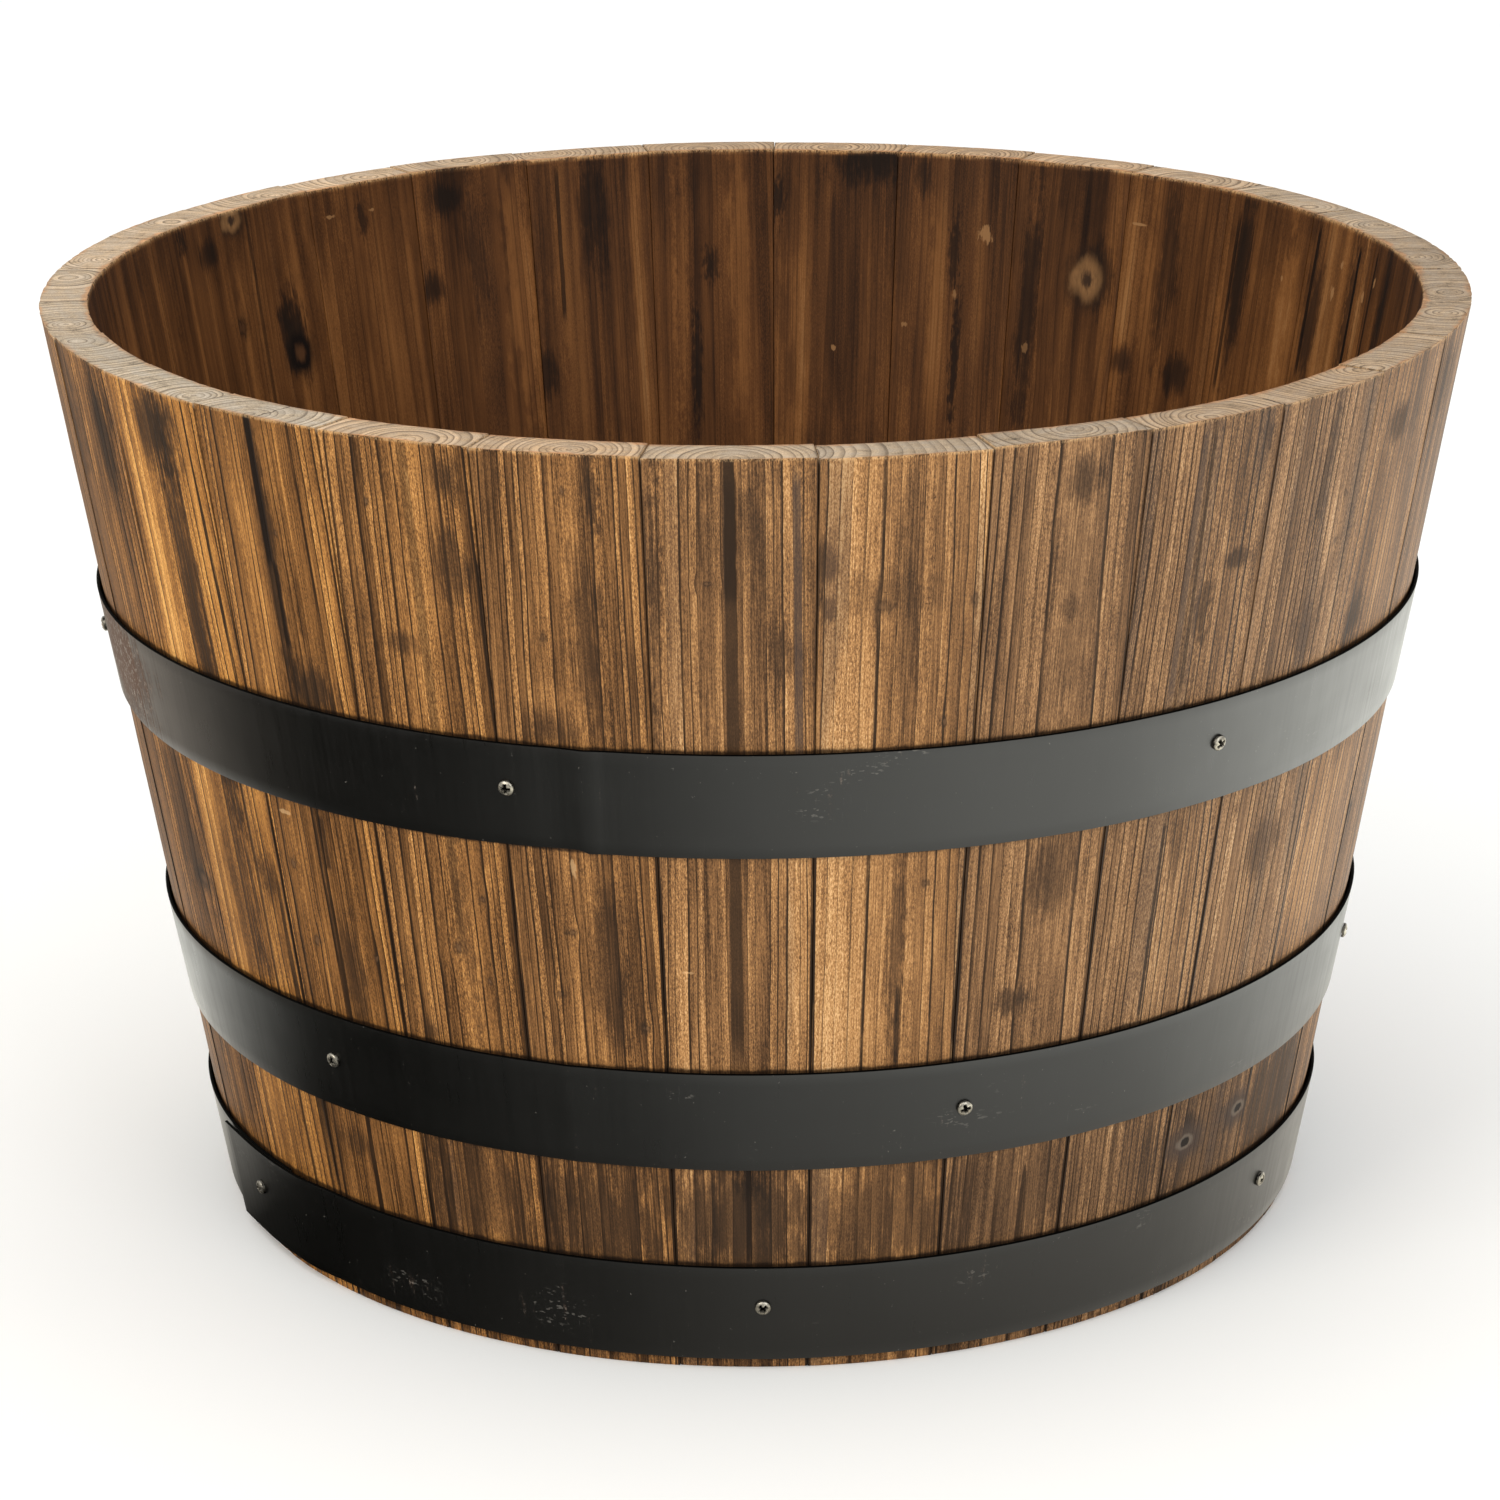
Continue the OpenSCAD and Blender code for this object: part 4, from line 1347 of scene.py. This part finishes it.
@dataclass(frozen=True)
class BlackedSteel:
    """Strip steel with a satin black coat, streaked along its short side and scuffed; its top cut edge is
    painted black as shade.
    """

    coat: tuple = linear(8, 8, 7)
    scuffed: tuple = linear(22, 21, 18)
    bare: tuple = linear(120, 116, 108)
    rust: tuple = linear(92, 62, 40)
    chalk: tuple = linear(150, 142, 130)
    # painted shade: the top cut edge, black and without reflection, stands for the shadow in the gap above
    # the hoop
    edge: tuple = linear(5, 5, 4)
    roughness: float = 0.15

    def dress(self, name: str) -> bpy.types.Material:
        """Builds the material. Its streaks follow the strip's own attribute.

        Args:
            name: the material's name.

        Returns:
            The material.
        """
        surface = Surface(name)
        strip = surface.attribute("strip")
        shaded_top_edge = surface.split(strip)[1].step(44.72, 44.92)
        streaks = surface.noise(strip, (2.2, 60.0, 40.0), 3.0, 0.6)
        clouds = surface.noise(strip, (60.0, 30.0, 40.0), 3.0, 0.6)
        specks = surface.noise(strip, (1.6, 2.4, 10.0), 2.0, 0.7)
        dashes = surface.noise(strip, (2.8, 1.1, 10.0))
        swells = surface.noise(strip, (24.0, 16.0, 20.0))
        scratches = surface.noise(strip, (0.5, 14.0, 10.0), 2.0, 0.7).step(0.68, 0.78) * clouds.step(0.5, 0.7)
        scuffs = specks.step(0.72, 0.78) * 0.5 + dashes.step(0.62, 0.68) * clouds.step(0.61, 0.68) * 0.35
        spill = (clouds + streaks + specks * 0.6 - 1.3) * 0.9
        stain = (surface.attribute("stain", "Fac") + spill).step(0.25, 0.75)
        colour = surface.mix(clouds * 0.4 + streaks * 0.3, self.coat, self.scuffed)
        colour = surface.mix(scuffs + scratches * 0.3, colour, self.bare)
        colour = surface.mix(stain * 0.9, colour, self.rust)
        colour = surface.mix(stain * specks.step(0.56, 0.62) * 0.6, colour, self.chalk)
        # painted shade on the top edge: black, fully rough and with a black specular tint
        colour = surface.mix(shaded_top_edge, colour, self.edge)
        rough = streaks * 0.18 + clouds * 0.16 + scratches * 0.2 + shaded_top_edge + stain * 0.4 + self.roughness
        normal = surface.bump(streaks * 0.012 + swells * 0.28 + specks * 0.01, 0.6)
        tint = surface.mix(shaded_top_edge, WHITE, BLACK)
        return surface.close(colour, rough, Normal=normal, Specular_IOR_Level=0.6, Specular_Tint=tint)


@dataclass(frozen=True)
class Dent:
    """A shallow bruise or kink in a hoop, or a stain on it: depth is then its strength."""

    angle: float
    across: float
    depth: float
    width: float
    length: float

    def share(self, angle: float, across: float, radius: float, hoop_width: float) -> float:
        """How much of the dent a point has.

        Args:
            angle: the point's angle.
            across: its place across the hoop, from 0 to 1.
            radius: the hoop's radius.
            hoop_width: the hoop's width.

        Returns:
            The dent's depth there.
        """
        x = math.radians(turn_between(self.angle, angle)) * radius / self.width
        y = (across - self.across) * hoop_width / self.length
        return self.depth * math.exp(-(x * x + y * y))


@dataclass(frozen=True)
class HoopPlan:
    """One hoop: its name, its lower edge, its lap, how far its screws are above its middle, and its wear."""

    name: str
    low: float
    lap_angle: float
    screw_rise: float
    dents: tuple[Dent, ...] = ()
    stains: tuple[Dent, ...] = ()
    nick_angle: float | None = None


@dataclass
class HoopSet:
    """The three hoops: strip steel rolled to the cone, with one end stepped over the other."""

    plans: tuple[HoopPlan, ...]
    width: float = 0.045
    thickness: float = 0.0012
    edge: float = 0.00022
    fit: float = 0.0001
    standoff: float = 0.0006
    lap: float = 0.066
    joggle: float = 0.026
    end_gap: float = 0.004
    lap_clear: float = 0.00015
    screw_inset: float = 0.033
    steps: int = 420
    rows: int = 8
    end_spring: float = 0.0011
    buckle: float = 0.00035
    nick_rise: float = 0.0013
    nick_reach: float = 0.045
    slot: str = "hoop_steel"

    def mid_radius(self, plan: HoopPlan) -> float:
        """The staves' outside radius at the hoop's mid-height."""
        return BARREL.face_radius(plan.low + self.width / 2 * math.cos(BARREL.taper))

    def lift(self, along: float) -> float:
        """How far the strip's inner face stands off the staves at its lower edge.

        Args:
            along: the distance from its outer end.

        Returns:
            The distance in metres.
        """
        layer = self.thickness + self.lap_clear
        share = 1.0 - min(1.0, max(0.0, (along - self.lap) / self.joggle))
        share = share * share * (3.0 - 2.0 * share)
        spring = self.end_spring * max(0.0, 1.0 - along / (self.screw_inset * 0.8)) ** 2
        return self.fit + layer * share + spring

    def build_one(self, plan: HoopPlan, finish: bpy.types.Material) -> None:
        """Rolls one strip round the staves.

        Args:
            plan: the hoop.
            finish: its material.
        """
        radius = self.mid_radius(plan)
        length = 2 * math.pi * radius + self.lap - self.end_gap
        clear_selection()
        bpy.ops.mesh.primitive_grid_add(x_subdivisions=self.steps, y_subdivisions=self.rows, size=1.0)
        hoop = bpy.context.object
        edit(hoop)
        bpy.ops.transform.resize(value=(length, self.width, 1.0))
        bpy.ops.transform.translate(value=(length / 2, self.width / 2, 0.0))
        close_edit()
        start = plan.lap_angle - math.degrees(self.screw_inset / radius)
        vertices = hoop.data.vertices
        strip = np.zeros((len(vertices), 3), np.float32)
        stain = np.zeros(len(vertices), np.float32)
        for vertex in vertices:
            along, up, _ = vertex.co
            # The third part gives each hoop its own stretch of the streaks
            strip[vertex.index] = (along / MM, up / MM, plan.low / MM * 7)
            angle = start + math.degrees(along / radius)
            off = self.lift(along) + self.standoff * up / self.width
            off += max(0.0, noise.noise(Vector((along * 18.0, up * 12.0, plan.low * 50))) * self.buckle)
            off += sum(dent.share(angle, up / self.width, radius, self.width) for dent in plan.dents)
            if plan.nick_angle is not None:
                left = math.radians(turn_between(angle, plan.nick_angle)) * radius
                if left > 0.0:
                    up += self.nick_rise * math.exp(-left / self.nick_reach) * (1.0 - up / self.width)
            spilt = (spill.share(angle, up / self.width, radius, self.width) for spill in plan.stains)
            stain[vertex.index] = sum(spilt)
            vertex.co = BARREL.point(angle, BARREL.slant(plan.low) + up, off)
        store(hoop, "strip", strip)
        store(hoop, "stain", stain)
        apply_modifier(hoop, "SOLIDIFY", thickness=self.thickness, offset=1.0, use_even_offset=True)
        ease_edges(hoop, self.edge)
        smooth(hoop)
        finish_piece(hoop, finish, f"steel_{plan.name}_hoop", self.slot, f"{plan.name}_hoop")

    def build(self) -> None:
        """Makes all three hoops."""
        finish = BlackedSteel().dress("blacked_steel")
        for plan in self.plans:
            self.build_one(plan, finish)


HOOPS = HoopSet(
    plans=(
        HoopPlan(
            "top",
            0.235,
            99.5,
            0.0035,
            dents=(Dent(-13.5, 0.5, 0.0008, 0.0045, 0.06), Dent(-16.4, 0.5, -0.0003, 0.006, 0.06)),
            stains=(Dent(-71.0, 0.55, 1.0, 0.045, 0.03),),
            nick_angle=-14.0,
        ),
        HoopPlan("middle", 0.095, 198.0, 0.0010, (Dent(-16.9, 0.5, 0.0005, 0.005, 0.04),)),
        HoopPlan("foot", 0.005, -60.0, 0.0035, (Dent(-42.0, 0.6, 0.0003, 0.008, 0.01),)),
    )
)


# ------------------------- Screws


@dataclass(frozen=True)
class DarkZinc:
    """Dull zinc on a screw head, with painted shade in its recess, and a dark skirt that is partly painted
    contact shadow and partly dirt.
    """

    bright: tuple = linear(176, 170, 156)
    dark: tuple = linear(12, 10, 8)

    def dress(self, name: str) -> bpy.types.Material:
        """Builds the material from the attribute that marks the recess and the skirt of the head."""
        surface = Surface(name)
        recess, skirt, _ = surface.split(surface.attribute("recess"))
        place_mm = surface.scaled(surface.place(), (1 / MM, 1 / MM, 1 / MM))
        dirt = surface.noise(place_mm, (1.5, 1.5, 1.5), 3.0, 0.6)
        # painted shade in the recess; on the skirt, painted contact shadow with some dirt; elsewhere patchy
        # dirt
        colour = surface.mix(recess + skirt * 0.7 + dirt.step(0.46, 0.70) * 0.6, self.bright, self.dark)
        rough = dirt * 0.3 + recess * 0.6 + 0.2
        return surface.close(colour, rough, Normal=surface.bump(dirt * 0.12, 0.6), Metallic=0.9)


@dataclass
class ScrewSet:
    """Cross-head screws: one is modelled, and copies stand where the hoops are screwed on."""

    hoops: HoopSet
    per_hoop: int = 6
    edge_clear: float = 0.003
    head_radius: float = 0.00325
    head_height: float = 0.0022
    edge_share: float = 0.4
    dome_steps: int = 5
    dome_power: float = 1.4
    shank_radius: float = 0.0015
    length: float = 0.016
    recess_depth: float = 0.0014
    bar_sides: tuple[float, float] = (2.15, 0.72)
    bar_taper: float = 0.45
    point_taper: float = 0.15
    seat_clear: float = 0.0002
    slot: str = "screw_steel"

    def angle(self, plan: HoopPlan, number: int) -> float:
        """The angle of a screw, kept away from the edges of its stave."""
        wanted = plan.lap_angle + number * 360.0 / self.per_hoop
        middle = BARREL.stave_angle(BARREL.nearest_stave(wanted))
        room = BARREL.pitch / 2 - math.degrees(self.edge_clear / self.hoops.mid_radius(plan))
        return middle + max(-room, min(room, wanted - middle))

    def blank(self) -> bpy.types.Object:
        """Models one screw standing on the XY plane, head up.

        Returns:
            The screw.
        """
        edge = self.head_height * self.edge_share
        clear_selection()
        bpy.ops.mesh.primitive_cylinder_add(
            vertices=32, radius=self.head_radius, depth=edge, location=(0, 0, edge / 2)
        )
        screw = bpy.context.object
        bpy.ops.object.transform_apply(location=True, rotation=True, scale=True)
        self.raise_dome(screw)
        self.drive_shank(screw)
        outward_normals(screw)
        for degrees in (0.0, 90.0):
            self.cut_bar(screw, degrees)
        self.mark_recess(screw)
        smooth(screw, 40.0)
        return screw

    @property
    def crown(self) -> float:
        """The height of the recess's mouth, just below the top of the dome."""
        return self.head_height * 0.96

    def edit_cap(self, screw: bpy.types.Object, side: int) -> None:
        """Opens a screw in edit mode with only its top (side 1) or bottom (side -1) face selected."""
        end = max(side * vertex.co.z for vertex in screw.data.vertices)
        edit_faces(screw, lambda face: min(side * vertex.co.z for vertex in face.verts) > end - 1e-6)

    def raise_dome(self, screw: bpy.types.Object) -> None:
        """Insets and lifts the top of the head into a dome."""
        height = self.head_height * (1.0 - self.edge_share)
        self.edit_cap(screw, 1)
        reach = rise = 0.0
        for number in range(1, self.dome_steps + 1):
            share = number / (self.dome_steps + 1)
            inward = self.head_radius * share**self.dome_power
            up = height * math.sin(share * math.pi / 2)
            bpy.ops.mesh.inset(thickness=inward - reach, depth=0.0)
            bpy.ops.transform.translate(value=(0, 0, up - rise))
            reach, rise = inward, up
        close_edit()

    def drive_shank(self, screw: bpy.types.Object) -> None:
        """Extrudes the shank and its point from the underside of the head."""
        point = self.shank_radius * 2
        self.edit_cap(screw, -1)
        bpy.ops.mesh.inset(thickness=self.head_radius - self.shank_radius, depth=0.0)
        for drop in (point - self.length, -point):
            bpy.ops.mesh.extrude_region_move(TRANSFORM_OT_translate={"value": (0, 0, drop)})
        bpy.ops.transform.resize(value=(self.point_taper, self.point_taper, 1.0), center_override=(0, 0, 0))
        close_edit()

    def cut_bar(self, screw: bpy.types.Object, degrees: float) -> None:
        """Cuts one tapered bar of the cross recess.

        Args:
            screw: the screw.
            degrees: the bar's direction.
        """
        clear_selection()
        bpy.ops.mesh.primitive_cube_add(size=1.0)
        bar = bpy.context.object
        edit(bar)
        long, wide = self.bar_sides
        sides = (self.head_radius * long, self.head_radius * wide, self.recess_depth * 2)
        bpy.ops.transform.resize(value=sides)
        bpy.ops.transform.translate(value=(0, 0, self.crown))
        turn_selected(degrees, "Z")
        close_edit()
        edit_faces(bar, lambda face: face.normal.z < -0.9)
        bpy.ops.transform.resize(value=(self.bar_taper, self.bar_taper, 1.0), center_override=(0, 0, 0))
        close_edit()
        apply_modifier(screw, "BOOLEAN", operation="DIFFERENCE", solver="EXACT", object=bar)
        bpy.data.objects.remove(bar)

    def mark_recess(self, screw: bpy.types.Object) -> None:
        """Stores which points lie in the recess, and which on the skirt of the head, where the material
        paints shade.
        """
        marks = np.zeros((len(screw.data.vertices), 3), np.float32)
        for vertex in screw.data.vertices:
            out = math.hypot(vertex.co.x, vertex.co.y) / self.head_radius
            rise = math.sin(max(0.0, 1.0 - out) ** (1 / self.dome_power) * math.pi / 2)
            dome = self.crown - self.head_height * 0.56 * (1.0 - rise)
            marks[vertex.index, 0] = out < 0.9 and 0.0 < vertex.co.z < dome - 0.00015
            marks[vertex.index, 1] = out > 0.97
        store(screw, "recess", marks)

    def seat(self, plan: HoopPlan, number: int) -> Matrix:
        """Where a screw's head sits on its hoop, and which way it points."""
        hoops = self.hoops
        slant = BARREL.slant(plan.low) + hoops.width / 2 + plan.screw_rise
        lift = hoops.fit + hoops.standoff * (0.5 + plan.screw_rise / hoops.width) + hoops.thickness
        lift += self.seat_clear
        if number == 0:
            lift += hoops.thickness + hoops.lap_clear
        angle = self.angle(plan, number)
        turn = Matrix.Rotation(math.radians(angle - 90.0), 4, "Z")
        lean = Matrix.Rotation(math.pi / 2 + BARREL.taper, 4, "Y")
        # No two heads end at the same turn
        spin = Matrix.Rotation(math.radians(37.0 * number + plan.low * 900), 4, "Z")
        return Matrix.Translation(BARREL.point(angle, slant, lift)) @ turn @ lean @ spin

    def build(self) -> None:
        """Makes the screws of every hoop, each hoop's as one piece."""
        finish = DarkZinc().dress("dark_zinc")
        blank = self.blank()
        for plan in self.hoops.plans:
            copies = [copy_of(blank) for _ in range(self.per_hoop)]
            for number, screw in enumerate(copies):
                screw.data.transform(self.seat(plan, number))
            activate(copies[0])
            for screw in copies:
                screw.select_set(True)
            bpy.ops.object.join()
            name = f"{plan.name}_hoop"
            finish_piece(copies[0], finish, f"{name}_crossheads", self.slot, f"{name}_screws")
        bpy.data.objects.remove(blank)
        paint(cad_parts["batten_screws"], finish)


# ------------------------- Studio


@dataclass
class Studio:
    """The pale floor, the soft lights and the camera at the photograph's angle."""

    camera_place: Triple = (0.0, -1.8855, 0.8191)
    pitch: float = 18.592
    yaw: float = -0.119
    roll: float = -0.4646
    lens_mm: float = 107.2
    floor_size: float = 40.0
    wall_light: float = 0.35
    ceiling_light: float = 1.35
    light_side: float = 1.4
    light_aim: Triple = (0.0, 0.0, 0.2)
    card_size: float = 3.6
    card_cells: int = 140
    card_rise: float = 0.002
    # The card's glow by angle, far from the barrel and near it
    card_glow: tuple[Triple, ...] = (
        (-180, 0.9, 0.9), (-125, 1.0, 2.4), (-104, 0.75, 2.0), (-86, 0.18, 0.9), (-76, 0.04, 0.35),
        (-67, 0.0, 0.03), (-51, 0.02, 0.0), (-34, 0.18, 0.03), (-17, 0.48, 0.15), (0, 1.18, 0.45),
        (17, 1.6, 0.62), (33, 2.0, 0.75), (50, 2.15, 0.8), (67, 2.75, 0.95), (85, 3.1, 1.0),
        (104, 2.8, 0.8), (120, 2.2, 0.8), (180, 0.9, 0.9),
    )

    def hold(self, name: str, data: bpy.types.ID) -> bpy.types.Object:
        """An object in the scene that holds a light or a camera."""
        holder = bpy.data.objects.new(name, data)
        bpy.context.scene.collection.objects.link(holder)
        return holder

    def floor(self) -> None:
        """A plain pale floor that reaches past the view."""
        clear_selection()
        bpy.ops.mesh.primitive_plane_add(size=self.floor_size)
        ground = bpy.context.object
        ground.name = "studio_floor"
        surface = Surface("pale_floor")
        tint = surface.noise(surface.place(), (9.0, 9.0, 9.0))
        paint(ground, surface.close(surface.mix(tint, linear(238, 238, 236), linear(242, 242, 240)), 0.9))

    def light(self, name: str, place: Triple, radiance: float, tone: Triple) -> None:
        """Adds a soft square light that faces the barrel.

        Args:
            name: the light's name.
            place: where it stands.
            radiance: how bright its face looks, where 1 is white.
            tone: its colour.
        """
        lamp = bpy.data.lights.new(name, "AREA")
        lamp.shape = "RECTANGLE"
        lamp.size = lamp.size_y = self.light_side
        lamp.energy = radiance * self.light_side * self.light_side * math.pi
        lamp.color = tone
        holder = self.hold(name, lamp)
        holder.location = place
        holder.rotation_euler = (Vector(self.light_aim) - Vector(place)).to_track_quat("-Z", "Y").to_euler()

    def floor_card(self) -> None:
        """Lays a card under the steel that only reflections see, dim at the left and bright at the right."""
        clear_selection()
        cells = self.card_cells
        bpy.ops.mesh.primitive_grid_add(x_subdivisions=cells, y_subdivisions=cells, size=self.card_size)
        card = bpy.context.object
        card.name = "floor_card"
        card.location = (0.0, 0.0, self.card_rise)
        turns, far, near = zip(*self.card_glow)
        glow = []
        for vertex in card.data.vertices:
            turn = math.degrees(math.atan2(vertex.co.x, -vertex.co.y))
            ends = (float(np.interp(turn, turns, near)), float(np.interp(turn, turns, far)))
            glow.append(float(np.interp(math.hypot(vertex.co.x, vertex.co.y), (0.25, 0.62), ends)))
        store(card, "glow", np.array(glow))
        surface = Surface("floor_card")
        place = surface.place()
        left = surface.split(place)[0].fall(-0.62, -0.38)
        near_barrel = surface.length(place).fall(0.26, 0.42)
        tint = surface.mix(near_barrel, (1.0, 1.0, 0.92, 1.0), (1.0, 0.95, 0.84, 1.0))
        inputs = {
            "Specular_IOR_Level": 0.0,
            "Emission_Color": surface.mix(left, tint, (1.0, 0.88, 0.74, 1.0)),
            "Emission_Strength": surface.attribute("glow", "Fac"),
        }
        paint(card, surface.close(BLACK, 1.0, **inputs))
        card.visible_camera = card.visible_diffuse = card.visible_shadow = card.visible_transmission = False

    def world(self) -> None:
        """Lights the room evenly, brighter from its ceiling than from its walls."""
        world = bpy.data.worlds.new("studio")
        bpy.context.scene.world = world
        world.use_nodes = True
        tree = world.node_tree
        way = tree.nodes.new("ShaderNodeTexCoord")
        parts = tree.nodes.new("ShaderNodeSeparateXYZ")
        rise = tree.nodes.new("ShaderNodeMapRange")
        rise.interpolation_type = "SMOOTHSTEP"
        for number, value in enumerate((0.1, 0.7, self.wall_light, self.ceiling_light), 1):
            rise.inputs[number].default_value = value
        tree.links.new(way.outputs["Generated"], parts.inputs[0])
        tree.links.new(parts.outputs[2], rise.inputs[0])
        tree.links.new(rise.outputs[0], tree.nodes["Background"].inputs[1])
        tree.nodes["Background"].inputs[0].default_value = WHITE

    def camera(self) -> None:
        """Places the camera as the photograph's was, from the fit to the rim, hoops and foot."""
        pitch, yaw, roll = (math.radians(a) for a in (self.pitch, self.yaw, self.roll))
        ahead = Vector((math.sin(yaw) * math.cos(pitch), math.cos(yaw) * math.cos(pitch), -math.sin(pitch)))
        level = ahead.cross(Vector((0, 0, 1))).normalized()
        upright = level.cross(ahead)
        right = level * math.cos(roll) + upright * math.sin(roll)
        up = upright * math.cos(roll) - level * math.sin(roll)
        data = bpy.data.cameras.new("camera")
        data.sensor_width = 36.0
        data.lens = self.lens_mm
        data.clip_end = 100.0
        holder = self.hold("camera", data)
        turn = Matrix((right, up, -ahead)).transposed().to_4x4()
        holder.matrix_world = Matrix.Translation(self.camera_place) @ turn
        bpy.context.scene.camera = holder

    def build(self) -> None:
        """Sets up the studio: a warm key from the left, a cooler fill, and the card for the steel."""
        self.floor()
        self.light("key", (-1.7, -2.0, 1.7), 5.0, (1.0, 0.95, 0.87))
        self.light("fill", (1.5, -2.4, 1.5), 2.8, (0.94, 0.97, 1.0))
        self.floor_card()
        self.world()
        self.camera()
        bpy.context.scene.view_settings.view_transform = "Standard"


def main() -> None:
    """Builds every piece and the studio."""
    logging.basicConfig(level=logging.INFO, format="%(name)s: %(message)s")
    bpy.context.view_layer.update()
    StaveRing().build()
    Floor().build()
    HOOPS.build()
    ScrewSet(HOOPS).build()
    Studio().build()


if __name__ == "__main__":
    main()
